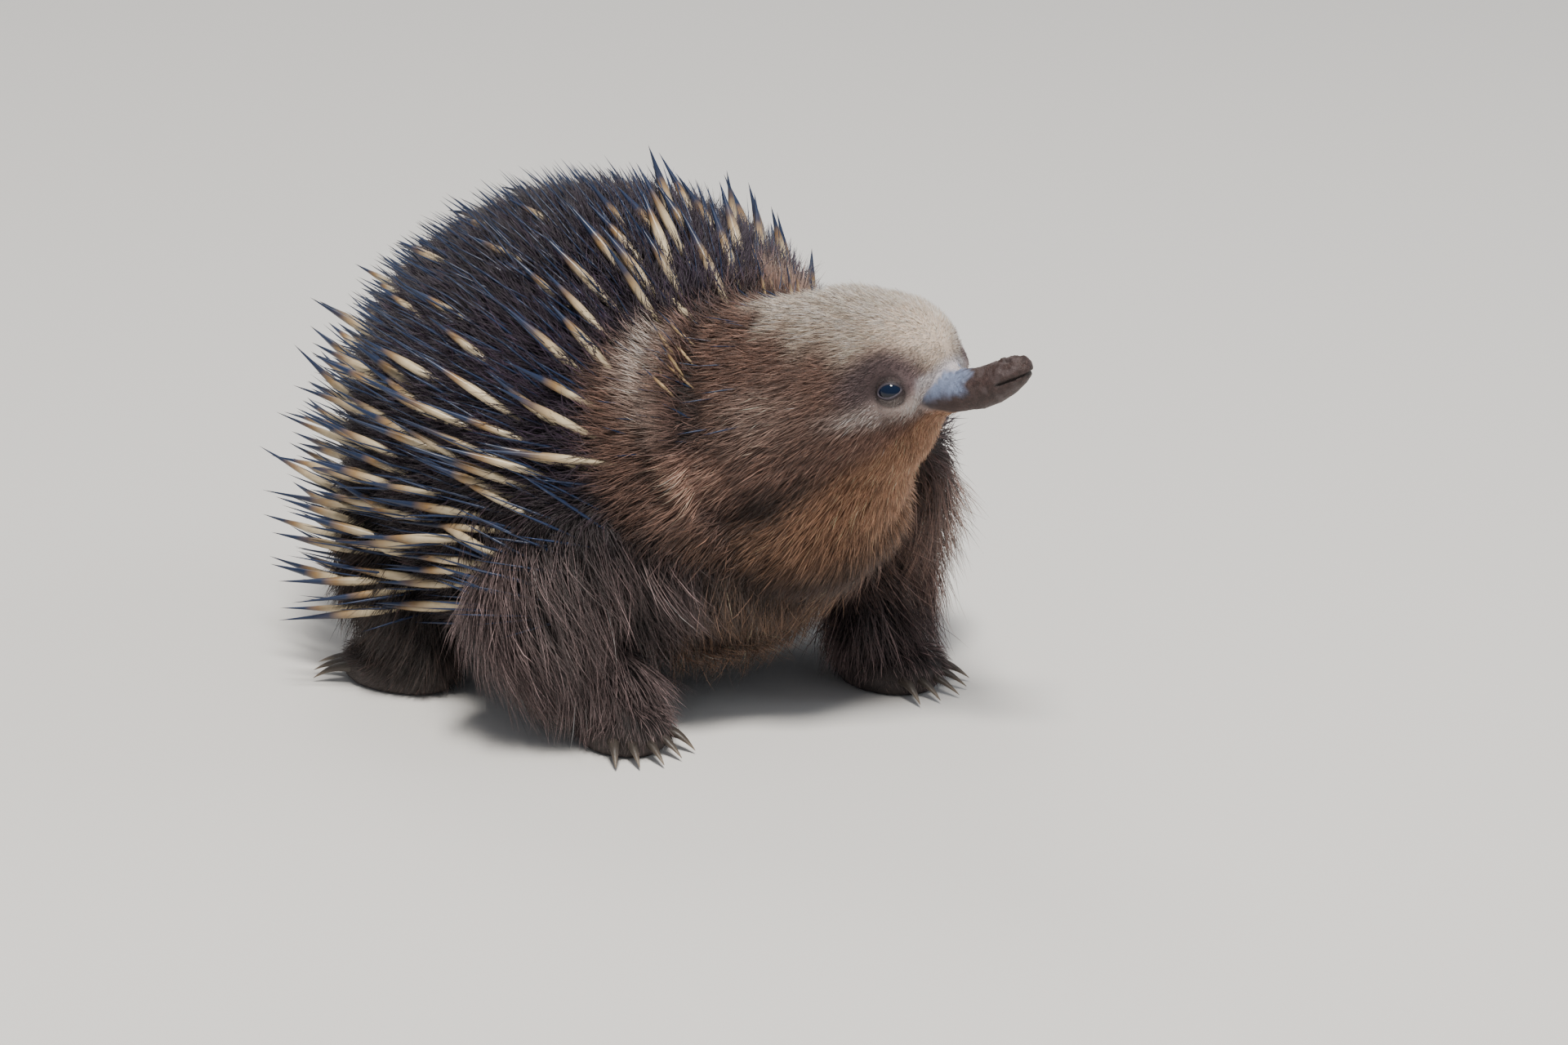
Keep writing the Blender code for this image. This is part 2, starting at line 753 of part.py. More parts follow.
def smooth_step(low, high, value):
    share = min(1.0, max(0.0, (value - low) / (high - low)))
    return share * share * (3 - 2 * share)


def blend(first, second, share):
    return tuple(a + (b - a) * share for a, b in zip(first, second))


def spine_shape(place):
    """Length and rise of the spine at a place in millimetres."""
    back = blend(SPINE_FLANK, SPINE_TOP, smooth_step(*BACK_HEIGHTS, place.z))
    low = 1 - smooth_step(*RUMP_HEIGHTS, place.z)
    back = blend(back, SPINE_RUMP, smooth_step(*RUMP_STARTS, place.y) * low)
    return blend(back, SPINE_COLLAR, smooth_step(*COLLAR_STARTS, along_head(place)))


def on_surface(direction, normal, share=1.0):
    """A direction turned along the surface, fully or by a share, as a unit vector."""
    return (direction - normal * direction.dot(normal) * share).normalized()


def backward(place):
    """Backward, fanning out a little from the neck."""
    return Vector(BACKWARD) + (place - Vector(NECK_CENTRE)) * FANNING


def back_lie(place, normal):
    return on_surface(backward(place), normal)


def spine_lie(place, normal):
    return on_surface(backward(place), normal, SPINE_FOLLOWS)


def hanging_lie(place, normal):
    return on_surface(Vector(HANGING), normal)


def varied(length, rise, lie, normal, varies, seeded):
    """A length, rise and lie that differ a little from the plain ones."""
    share, tilt, turn = varies
    sideways = math.tan(math.radians(seeded.uniform(-turn, turn)))
    angle = math.radians(rise + seeded.uniform(-tilt, tilt))
    return length * seeded.uniform(*share), angle, (lie + normal.cross(lie) * sideways).normalized()


def add_spine(form, site, seeded, spare=0.0):
    """Adds a four-sided spine. With spare it is thicker and longer by that much."""
    place, normal = site
    length, rise = spine_shape(place / MM)
    length, angle, lie = varied(length, rise, spine_lie(place / MM, normal), normal, SPINE_VARIES, seeded)
    length = length * MM + spare
    out = (lie * math.cos(angle) + normal * math.sin(angle)).normalized()
    side = out.cross(normal).normalized()
    top = side.cross(out)
    rings = []
    for share, thick in ((-SPINE_SUNK * MM / length, SPINE_ROOT), (SPINE_THICKEST, 1.0)):
        radius = SPINE_RADIUS * thick * MM + spare
        middle = place + out * length * share
        rings.append(ring(middle, side * radius, top * radius, SPINE_SIDES, phase=0.5))
    rings.append([place + out * length])
    add_tube(form, rings, pointed=True)


def add_lock(form, site, kind, seeded, spare=0.0):
    """Adds a flat lock that rises, sags and tapers to a point. With spare it is bigger by that much."""
    place, normal = site
    _, length, width, thickness, rise, sag = LOCKS[kind]
    lie = (back_lie if kind == "back" else hanging_lie)(place / MM, normal)
    length, angle, lie = varied(length, rise, lie, normal, LOCK_VARIES, seeded)
    length = length * MM + spare
    side = lie.cross(normal)
    reach = length
    lowest = FLOOR_CLEAR * MM + spare

    def course(share):
        height = math.sin(angle) * share - sag * share * abs(share)
        return place + lie * math.cos(angle) * share * reach + normal * height * reach

    while course(1).z < lowest and reach > LOCK_SHORTEST * length:
        reach *= LOCK_SHORTENED
    rings = []
    for share, wide, thick in LOCK_SHAPE:
        across = side * (width * wide / math.sqrt(2) * MM + spare)
        up = normal * (thickness * thick / math.sqrt(2) * MM + spare)
        middle = course(share or -LOCK_SUNK * MM / reach)
        rings.append(ring(middle, across, up, 4, phase=0.5))
    rings.append([course(1)])
    add_tube(form, rings, pointed=True)


def cover(name, nodes, growths):
    """Joins to a node those growths that stay clear of every other node."""
    others = bmesh.new()
    for other, obj in nodes.items():
        if other != name:
            others.from_mesh(obj.data)
    blocked = BVHTree.FromBMesh(others)
    others.free()
    collection = new_collection("growths")
    for number, (add, site) in enumerate(growths):
        trial = bmesh.new()
        add(trial, site, np.random.default_rng((SEED, number)), spare=GAP)
        crossing = BVHTree.FromBMesh(trial).overlap(blocked)
        low = min(vert.co.z for vert in trial.verts)
        trial.free()
        if crossing or low < 0:
            continue
        form = bmesh.new()
        add(form, site, np.random.default_rng((SEED, number)))
        object_of("growth", form, collection)
    if collection.objects:
        join_all(nodes[name], collection)
    else:
        remove_collection(collection)


def grow_coat(body, nodes):
    """Sets spines and locks on the nodes under them."""
    seeded = np.random.default_rng(SEED)
    places, normals = samples(body, BODY_TRIALS, seeded)
    spines = spread(places, normals, has_spines, SPINE_SPACING)
    sites = [(add_spine, site) for site in spines]
    for kind, allowed in (("back", has_spines), ("leg", has_leg_locks), ("chest", has_chest_locks)):
        found = spread(places[::-1], normals[::-1], allowed, LOCKS[kind][0], spines, LOCK_FROM_SPINE)
        sites += [(lock_adder(kind), site) for site in found]
    tail_places, tail_normals = samples(nodes["tail"], TAIL_TRIALS, seeded)
    tips = spread(tail_places, tail_normals, lambda place, normal: place[1] > TAIL_TIP, TAIL_SPACING)
    trees = {name: tree_of(obj) for name, obj in nodes.items()}
    owned = {name: [] for name in nodes}
    for add, site in sites:
        distance, owner = min((tree.find_nearest(site[0])[3], name) for name, tree in trees.items())
        if distance < SITE_ERROR * MM and owner not in SHORT_COATED:
            owned[owner].append((add, site))
    owned["tail"] += [(add_spine, site) for site in tips]
    for name, growths in owned.items():
        if growths:
            cover(name, nodes, growths)


def lock_adder(kind):
    def add(form, site, seeded, spare=0.0):
        add_lock(form, site, kind, seeded, spare)
    return add


def tree_of(obj):
    form = bmesh.new()
    form.from_mesh(obj.data)
    tree = BVHTree.FromBMesh(form)
    form.free()
    return tree


def give_materials(nodes):
    looks = {
        "torso": material("torso_coat", COAT_BROWN, 0.9),
        "head": material("face_coat", FACE_TAN, 0.9),
        "leg": material("leg_coat", LEG_BROWN, 0.9),
        "beak": material("beak_skin", BEAK_BROWN, 0.6),
        "eye": material("eye_cornea", EYE_BLACK, 0.05),
        "paw": material("paw_skin", PAW_GREY, 0.6),
    }
    shared = {"neck": "torso", "tail": "torso", "ear": "head"}
    for name, obj in nodes.items():
        kind = kind_of(name)
        obj.data.materials.clear()
        obj.data.materials.append(looks[shared.get(kind, kind)])


def centre_on_floor(nodes):
    """Moves everything so that the origin is under the middle of the bounding box."""
    corners = np.array([vert.co for obj in nodes.values() for vert in obj.data.vertices])
    low, high = corners.min(axis=0), corners.max(axis=0)
    shift = Matrix.Translation((-(low[0] + high[0]) / 2, -(low[1] + high[1]) / 2, -low[2]))
    for obj in nodes.values():
        obj.data.transform(shift)


def main():
    clear_scene()
    parts = new_collection("echidna")
    cutters = new_collection("cutters")
    body, nodes = part_body(parts, cutters)
    add_features(nodes, parts, cutters)
    grow_coat(body, nodes)
    remove_collection(cutters)
    give_materials(nodes)
    centre_on_floor(nodes)


main()
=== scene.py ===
import math

import bmesh
import bpy
import numpy as np
from mathutils import Matrix, Vector, noise
from mathutils.kdtree import KDTree

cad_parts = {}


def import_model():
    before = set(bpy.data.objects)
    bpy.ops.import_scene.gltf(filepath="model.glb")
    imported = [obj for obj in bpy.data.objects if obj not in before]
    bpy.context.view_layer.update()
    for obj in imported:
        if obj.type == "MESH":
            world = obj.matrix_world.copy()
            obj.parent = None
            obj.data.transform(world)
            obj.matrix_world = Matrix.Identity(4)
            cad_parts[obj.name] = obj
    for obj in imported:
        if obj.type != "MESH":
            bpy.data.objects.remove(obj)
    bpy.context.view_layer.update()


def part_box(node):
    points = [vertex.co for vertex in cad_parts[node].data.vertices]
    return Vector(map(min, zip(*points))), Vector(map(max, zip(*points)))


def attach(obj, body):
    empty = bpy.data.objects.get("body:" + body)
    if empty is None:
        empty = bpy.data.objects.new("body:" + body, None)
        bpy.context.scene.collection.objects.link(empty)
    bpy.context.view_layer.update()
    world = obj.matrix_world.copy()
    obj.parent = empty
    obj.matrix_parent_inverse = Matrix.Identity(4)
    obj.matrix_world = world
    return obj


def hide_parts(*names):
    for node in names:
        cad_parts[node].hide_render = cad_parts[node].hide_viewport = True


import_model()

# The animal's own sizes, in millimetres, as in the part's source
MM = 0.001
SEED = 7

TRUNK = (((0, 0, 80), (92, 101, 95)), ((0, 36, 70), (80, 64, 74)), ((6, -68, 76), (62, 48, 46)))
BELLY_HEIGHT = 30
NECK_CENTRE = (9, -83, 107)
HEAD_TURN = 17
HEAD_RISE = 20

# Distance from the neck, rise above the head's line, half width, half height, half depth,
# and depth of the fur over the skin
HEAD_STATIONS = (
    (-14, 0, 50, 50, 50, 5),
    (8, 1, 46, 46, 46, 5),
    (26, 4.5, 41, 41, 38, 4),
    (42, 8.2, 35.5, 36.5, 30, 3),
    (54, 14, 28.5, 25.5, 29.5, 2),
)
BEAK_STATIONS = (
    (64, 1.4, 13, 10),
    (70, 1.2, 11, 8.8),
    (77, 0.4, 8.7, 7.7),
    (84, -0.7, 7.6, 7.2),
    (90, -1.4, 7.1, 7.1),
    (97, -0.7, 6.8, 6.8),
    (103, 0.7, 6.3, 6.3),
    (108, 2.0, 5.2, 5.0),
    (110.6, 2.5, 3.7, 3.6),
    (112, 2.8, 2.0, 2.0),
    (112.5, 2.9, 0.6, 0.6),
)
BEAK_SHOWS = 80
BEAK_ROOT = range(64, 92, 2)
MOUTH_BACK = 99.5
MOUTH_RISE = (-0.8, 0.5)
NOSTRIL_PLACE = (104.5, 2.3, 6.8)
NOSTRIL_RADII = (2.0, 0.8)
EARTH_START = (86, 100)
FOLD_END = (82, 92)
LUMP_HEIGHT = 0.75
GRAIN_HEIGHT = 0.10
FOLD_HEIGHT = 0.12
MOUTH_DEPTH = 1.3
NOSTRIL_DEPTH = 1.5
NOSTRIL_RIM = 0.35
EYE_PLACE = (68.5, 20.6, 7.0)
EYE_RADIUS = 4.6
ORBIT_SUNK = 3.5
ORBIT_RADII = (9, 5.2, 8.5)
EYE_OUTWARD = (0.93, 0.33, 0.12)
THROAT_BALL = ((14, -99, 82), (38, 24, 28))
JAW_START = ((41, 0, 8), (25, 31, 32))
JAW_END = (23, 36, 27)
EAR_ALONG = -8
EAR_RING = 45.5
EAR_ARC = (-16, 70)
EAR_THICKNESS = (2.5, 5)
EAR_SLIT_ARC = (12, 46)
EAR_SLIT_OFFSET = (6, 3)
EAR_SLIT_RADIUS = 2.4

# Where the fur ends along the head's line, by the angle of rise
FUR_END = ((-90, -45, -12, 8, 35, 60, 90), (79, 77, 72, 71.5, 75, 80, 86))

LEGS = {
    "front_right": (((-52, -50, 72), 33), ((-67, -50, 52), 28), ((-62, -56, 30), 21), ((-50, -66, 14), 17)),
    "front_left": (((62, -76, 86), 31), ((70, -66, 58), 27), ((68, -72, 30), 21), ((57, -84, 14), 17)),
    "hind_right": (((-56, 32, 62), 36), ((-70, 26, 40), 28), ((-74, 18, 22), 19), ((-75, 12, 12), 15)),
    "hind_left": (((56, 44, 62), 36), ((70, 42, 40), 28), ((74, 36, 22), 19), ((75, 32, 12), 15)),
}
HEADINGS = {"front_right": -10, "front_left": 14, "hind_right": -158, "hind_left": 158}
PAW_RADII = {"front": (18, 23, 13), "hind": (15, 25, 12)}
PAW_REACH = {"front": 6, "hind": 12}
PAW_HEIGHT = 6
CLAW_FAN = 50
CLAW_LENGTH = {"front": 15, "hind": 17}
CLAW_RADIUS = 2.4
CLAW_ARCH = 1.0
CLAW_DROP = 4.4
CLAW_FLAT = 0.8
TAIL_STATIONS = (((0, 88, 56), 13), ((0, 98, 51), 10), ((0, 108, 47), 6))

# How far the skin lies inside the solids
BACK_DEPTH = 6
LEG_DEPTH = (6, 3)
PAW_DEPTH = 1.5

# Fineness: voxel in millimetres and rounds of smoothing, then sides and steps of tubes
SKIN_MESH = (1.8, 5)
SLIT_MESH = (1.2, 1)
BEAK_MESH = (96, 130)
CLAW_MESH = (12, 10)
LID_TURNS = 72

LID_HAIRS = (900, 2600)
SPINE_PLACES = 40000

# Heights over the floor, in millimetres: the soles, and the lowest point of fur and claws
SOLE = 0.2
LOWEST = 0.25

# Spines: how far forward and how low they grow, then each zone's length and rise in degrees
SPINE_FRONT = ((30, 52, 79, 104, 150), (-14, -32, -55, -72, -90))
SPINE_LOWEST = 32
SPINE_BEHIND_NECK = (-17, -3)
SPINE_FLANK = (46, 19)
SPINE_TOP = (28, 18)
SPINE_RUMP = (36, 23)
SPINE_COLLAR = (40, 27)
SPINE_FOLLOWS = 0.6
SPINE_LIFT = ((36, 78, 110, 132, 150), (-0.16, 0.12, 0.32, 0.45, 0.22))
SPINE_SPACING = (9.6, 22.0)
SPINE_RADIUS = (1.7, 2.0)

# Camera: where it looks, in the animal's millimetres, and from where
LOOK_AT = (49.4, -41.5, 49.8)
VIEW_AZIMUTH = -40
VIEW_ELEVATION = 20
VIEW_DISTANCE = 1.8
LENS = 112.5

# Colours, linear: the coat's regions as a root and a tip
# Purple-brown wool, its blue partly painted skylight
WOOL_WITH_PAINTED_SKYLIGHT = ((0.006, 0.003, 0.006), (0.030, 0.015, 0.036))
FLANK = ((0.009, 0.005, 0.006), (0.046, 0.026, 0.029))
BELLY = ((0.015, 0.010, 0.009), (0.060, 0.041, 0.036))
CHEEK = ((0.043, 0.022, 0.016), (0.305, 0.176, 0.134))
RUFF = ((0.032, 0.016, 0.012), (0.220, 0.122, 0.090))
# Pale tan of the ear's fold, partly a painted highlight
RIDGE_TAN_AND_PAINTED_HIGHLIGHT = ((0.280, 0.190, 0.155), (0.900, 0.740, 0.650))
# Painted shade in the hollow before the ear's fold
CREASE_PAINTED_SHADE = ((0.016, 0.009, 0.006), (0.100, 0.052, 0.036))
# Pale tan of the ear's bulge, partly a painted sun highlight
BULGE_TAN_AND_PAINTED_HIGHLIGHT = ((0.240, 0.122, 0.086), (0.820, 0.510, 0.385))
FOREHEAD = ((0.270, 0.195, 0.145), (0.900, 0.765, 0.640))
THROAT = ((0.100, 0.047, 0.026), (0.500, 0.275, 0.165))
# Painted shade under the cheek
CHEEK_PAINTED_SHADE = ((0.008, 0.003, 0.002), (0.045, 0.019, 0.011))
EYE_PATCH = ((0.016, 0.009, 0.010), (0.075, 0.045, 0.045))
BROW = ((0.045, 0.030, 0.030), (0.200, 0.140, 0.145))
STREAK = ((0.160, 0.110, 0.100), (0.900, 0.780, 0.730))
MUZZLE = ((0.280, 0.245, 0.250), (0.760, 0.710, 0.730))
# Chest and its guard hairs: brown, darkened as painted shade between the forelegs
CHEST_BROWN_AND_PAINTED_SHADE = ((0.014, 0.008, 0.005), (0.075, 0.043, 0.029))
CHEST_GUARD_AND_PAINTED_SHADE = ((0.022, 0.012, 0.008), (0.180, 0.108, 0.072))
LEG = ((0.006, 0.004, 0.004), (0.026, 0.016, 0.019))
LEG_GUARD = ((0.009, 0.005, 0.006), (0.140, 0.098, 0.096))
HIND = ((0.005, 0.003, 0.003), (0.038, 0.023, 0.019))
BEAK_GREY = (0.125, 0.155, 0.240)
BEAK_BROWN = (0.042, 0.025, 0.023)
BEAK_EARTH = (0.070, 0.050, 0.050)
SPINE_CREAM = (0.58, 0.48, 0.32)
SPINE_TAN = (0.44, 0.27, 0.12)
QUILL_CREAM = (0.50, 0.36, 0.20)
# Blue-black of spine points and bristles, its blue partly a painted sky reflection
SPINE_BLUE_BLACK_AND_PAINTED_REFLECTION = (0.016, 0.027, 0.064)
SOLE_SKIN = (0.045, 0.036, 0.034)
# Painted shade in the ear's slit
SLIT_PAINTED_SHADE = (0.012, 0.008, 0.007)
EYE_RIM = (0.022, 0.015, 0.016)
BEAK_CORNER = (0.035, 0.028, 0.034)
# Painted shade in the mouth's slit and the nostrils
BEAK_HOLLOW_PAINTED_SHADE = (0.016, 0.012, 0.011)
LID_DARK = (0.022, 0.015, 0.017)
LID_GREY = (0.050, 0.042, 0.055)
HORN_DARK = (0.05, 0.042, 0.036)
HORN_PALE = (0.20, 0.16, 0.12)
CORNEA_LOW = (0.002, 0.003, 0.006, 1)
# Painted reflection of the sky on the eye's upper part
CORNEA_PAINTED_SKY_REFLECTION = (0.0032, 0.009, 0.027, 1)
FLOOR = (0.72, 0.71, 0.69, 1)
SKY = (0.88, 0.92, 1.0, 1)
SKY_POWER = 0.33

# Each light's place, power, size and tint
LIGHTS = {
    "key": ((-0.55, -0.75, 2.2), 84, 0.5, (1.0, 0.95, 0.88)),
    "fill": ((1.6, -0.9, 0.8), 9, 1.0, (0.9, 0.95, 1.0)),
    "rim": ((0.6, 1.5, 1.6), 10, 0.8, (1.0, 0.97, 0.92)),
}


def head_axes():
    """Unit vectors of the head: forward along the beak, to the animal's right, and up."""
    turn, rise = math.radians(HEAD_TURN), math.radians(HEAD_RISE)
    forward = Vector((math.sin(turn) * math.cos(rise), -math.cos(turn) * math.cos(rise), math.sin(rise)))
    right = forward.cross(Vector((0, 0, 1))).normalized()
    return forward, right, right.cross(forward)


FORWARD, RIGHT, UP = head_axes()
HEAD_TURNING = Matrix((FORWARD, -RIGHT, UP)).transposed()


def on_head(along, side=0.0, rise=0.0):
    """A place on the head, in the animal's millimetres."""
    return Vector(NECK_CENTRE) + FORWARD * along + RIGHT * side + UP * rise


def frame_shift():
    """From the animal's own origin to the row's, found from the right eye."""
    low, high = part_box("eye_right")
    return (Vector(low) + Vector(high)) / 2 - on_head(*EYE_PLACE) * MM


SHIFT = frame_shift()


def world(place):
    return Vector(place) * MM + SHIFT


def kind_of(name):
    return name.split("_")[0]


def heading(name):
    """Unit vectors of a paw: along its heading and to the left of it."""
    angle = math.radians(HEADINGS[name])
    ahead = Vector((math.sin(angle), -math.cos(angle), 0))
    return ahead, Vector((-ahead.y, ahead.x, 0))


def paw_centre(name):
    ankle = Vector(LEGS[name][-1][0])
    place = ankle + heading(name)[0] * PAW_REACH[kind_of(name)]
    return Vector((place.x, place.y, PAW_HEIGHT))


def between(first, last, share):
    return first + (last - first) * share


def ease(low, high, value):
    """Rises smoothly from 0 at low to 1 at high."""
    share = np.clip((value - low) / (high - low), 0, 1)
    return share * share * (3 - 2 * share)


def fade(low, high, value):
    return 1 - ease(low, high, value)


# Mesh helpers

def mesh_of(name, form):
    mesh = bpy.data.meshes.new(name)
    form.to_mesh(mesh)
    form.free()
    return mesh


def placed(name, mesh):
    obj = bpy.data.objects.new(name, mesh)
    bpy.context.scene.collection.objects.link(obj)
    return obj


def link(name, mesh, material):
    obj = placed(name, mesh)
    mesh.materials.clear()
    mesh.materials.append(material)
    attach(obj, "root")
    return obj


def smooth_piece(name, form, material):
    mesh = mesh_of(name, form)
    mesh.shade_smooth()
    return link(name, mesh, material)


def read_rows(items, field, kind=float):
    """Three values of each item, as a row."""
    values = np.empty(len(items) * 3, dtype=kind)
    items.foreach_get(field, values)
    return values.reshape(-1, 3)


def add_ball(form, centre, radii, turning=None, detail=3):
    turned = turning.to_4x4() if turning else Matrix.Identity(4)
    place = Matrix.Translation(world(centre)) @ turned @ Matrix.Diagonal((*(Vector(radii) * MM), 1))
    bmesh.ops.create_icosphere(form, subdivisions=detail, radius=1, matrix=place)


def add_chain(form, stations, less=(0.0, 0.0), steps=6):
    """Adds a row of balls between stations, thinner by less at the first and the last one."""
    count = len(stations) - 1
    for number, ((start, first), (end, last)) in enumerate(zip(stations, stations[1:])):
        for i in range(steps + 1):
            share = i / steps
            radius = between(first, last, share) - between(*less, (number + share) / count)
            add_ball(form, Vector(start).lerp(Vector(end), share), (radius,) * 3)


def add_band(form, low, high, closed=True):
    """Adds the faces between two rows of corners."""
    count = len(low)
    for k in range(count if closed else count - 1):
        j = (k + 1) % count
        form.faces.new((low[k], low[j], high[j], high[k]))


def add_tube(form, rows):
    """Adds the faces along rows of corners, with both ends closed."""
    for low, high in zip(rows, rows[1:]):
        add_band(form, low, high)
    form.faces.new(rows[0][::-1])
    form.faces.new(rows[-1])


def ear_arc(arc, ring_radius, along, radii, sign, steps=8):
    """Places and radii along an arc round the head, thickest in its middle."""
    stations = []
    for i in range(steps + 1):
        share = i / steps
        angle = math.radians(between(*arc, share))
        side, rise = ring_radius * math.cos(angle), ring_radius * math.sin(angle)
        radius = between(*radii, math.sin(math.pi * share))
        stations.append((on_head(along, sign * side, rise), radius))
    return stations


def evaluated(obj):
    """Replaces the mesh by what its modifiers make of it."""
    graph = bpy.context.evaluated_depsgraph_get()
    mesh = bpy.data.meshes.new_from_object(obj.evaluated_get(graph))
    obj.modifiers.clear()
    obj.data = mesh


def remeshed(obj, voxel, smoothing):
    remesh = obj.modifiers.new("fuse", "REMESH")
    remesh.mode = "VOXEL"
    remesh.voxel_size = voxel * MM
    smooth = obj.modifiers.new("smooth", "SMOOTH")
    smooth.factor = 0.5
    smooth.iterations = smoothing
    evaluated(obj)


# Skin

def add_trunk(form):
    """Adds the trunk's balls, cut flat at the belly."""
    trunk = bmesh.new()
    for centre, radii in TRUNK:
        add_ball(trunk, centre, Vector(radii) - Vector((BACK_DEPTH,) * 3), detail=5)
    everything = trunk.verts[:] + trunk.edges[:] + trunk.faces[:]
    level = world((0, 0, BELLY_HEIGHT))
    cut = bmesh.ops.bisect_plane(
        trunk, geom=everything, plane_co=level, plane_no=(0, 0, 1), clear_inner=True
    )
    rim = [item for item in cut["geom_cut"] if isinstance(item, bmesh.types.BMEdge)]
    bmesh.ops.holes_fill(trunk, edges=rim)
    mesh = mesh_of("trunk", trunk)
    form.from_mesh(mesh)
    bpy.data.meshes.remove(mesh)


def add_head(form, steps=4):
    """Adds the head's balls and the root of the beak."""
    for first, second in zip(HEAD_STATIONS, HEAD_STATIONS[1:]):
        for i in range(steps + 1):
            along, rise, width, height, depth, fur = (
                a + (b - a) * i / steps for a, b in zip(first, second)
            )
            radii = (depth - fur, width - fur, height - fur)
            add_ball(form, on_head(along, 0, rise), radii, HEAD_TURNING, detail=4)
    for sign in (1, -1):
        along, side, rise = EYE_PLACE
        orbit = on_head(along - 1, (side - ORBIT_SUNK) * sign, rise)
        add_ball(form, orbit, ORBIT_RADII, HEAD_TURNING, detail=4)
    add_ball(form, *THROAT_BALL, detail=4)
    add_jaw(form)
    for along in BEAK_ROOT:
        rise, width, height = beak_at(along)
        swell = 0.5 * float(fade(BEAK_SHOWS, BEAK_SHOWS + 9, along))
        radii = (3, width + swell, height + swell)
        add_ball(form, on_head(along, 0, rise), radii, HEAD_TURNING, detail=4)


def add_jaw(form, steps=8):
    """Adds balls from the head's front to the throat, so that no fold shows between them."""
    start, end = on_head(*JAW_START[0]), Vector(THROAT_BALL[0])
    for i in range(steps):
        share = i / steps
        radii = Vector(JAW_START[1]).lerp(Vector(JAW_END), share)
        add_ball(form, start.lerp(end, share), radii, HEAD_TURNING, detail=4)


def make_skin(material):
    """One skin over trunk, head, ears, legs and paws, with the ears' slits cut in."""
    form = bmesh.new()
    add_trunk(form)
    add_head(form)
    for name, leg in LEGS.items():
        add_chain(form, leg, LEG_DEPTH)
        ahead, left = heading(name)
        turning = Matrix((left, ahead, (0, 0, 1))).transposed()
        radii = Vector(PAW_RADII[kind_of(name)]) - Vector((PAW_DEPTH,) * 3)
        add_ball(form, paw_centre(name), radii, turning, detail=4)
    for sign in (1, -1):
        add_chain(form, ear_arc(EAR_ARC, EAR_RING, EAR_ALONG, EAR_THICKNESS, sign), steps=3)
    add_chain(form, TAIL_STATIONS)
    skin = placed("skin", mesh_of("skin", form))
    remeshed(skin, *SKIN_MESH)
    for sign in (1, -1):
        cut_ear_slit(skin, sign)
    flatten_soles(skin.data)
    skin.data.shade_smooth()
    skin.data.materials.clear()
    skin.data.materials.append(material)
    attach(skin, "root")
    return skin


def slit_arc(sign):
    forward, outward = EAR_SLIT_OFFSET
    radii = (EAR_SLIT_RADIUS * 0.5, EAR_SLIT_RADIUS)
    return ear_arc(EAR_SLIT_ARC, EAR_RING + outward, EAR_ALONG + forward, radii, sign)


def cut_ear_slit(skin, sign):
    form = bmesh.new()
    add_chain(form, slit_arc(sign), steps=3)
    slit = placed("slit", mesh_of("slit", form))
    remeshed(slit, *SLIT_MESH)
    cut = skin.modifiers.new("slit", "BOOLEAN")
    cut.operation = "DIFFERENCE"
    cut.object = slit
    cut.solver = "MANIFOLD"
    evaluated(skin)
    bpy.data.objects.remove(slit)


def flatten_soles(mesh):
    places = read_rows(mesh.vertices, "co")
    places[:, 2] = np.maximum(places[:, 2], SOLE * MM)
    mesh.vertices.foreach_set("co", places.ravel())
    mesh.update()


# Beak

def beak_at(along):
    """The beak's rise, half width and half height at a distance along the head's line."""
    table = np.array(BEAK_STATIONS)
    return [np.interp(along, table[:, 0], table[:, column]) for column in (1, 2, 3)]


def make_beak(material):
    """A fine tube with nostrils, a mouth line under the tip and dried earth on it."""
    sides, steps = BEAK_MESH
    first, last = BEAK_STATIONS[0][0], BEAK_STATIONS[-1][0]
    form = bmesh.new()
    rows = []
    for i in range(steps + 1):
        along = last - (last - first) * (1 - math.sin(math.pi / 2 * i / steps)) if i else first
        rise, width, height = (float(value) for value in beak_at(along))
        row = []
        for k in range(sides):
            turn = 2 * math.pi * k / sides
            side, up = math.cos(turn) * width, math.sin(turn) * height
            outward = (RIGHT * math.cos(turn) + UP * math.sin(turn)).normalized()
            relief = beak_relief(along, side, rise + up, turn)
            row.append(form.verts.new(world(on_head(along, side, rise + up) + outward * relief)))
        rows.append(row)
    add_tube(form, rows)
    bmesh.ops.recalc_face_normals(form, faces=form.faces)
    return smooth_piece("beak_skin", form, material)


def mouth_rise(along):
    last = BEAK_STATIONS[-1][0]
    return MOUTH_RISE[0] + (MOUTH_RISE[1] - MOUTH_RISE[0]) * (along - MOUTH_BACK) / (last - MOUTH_BACK)


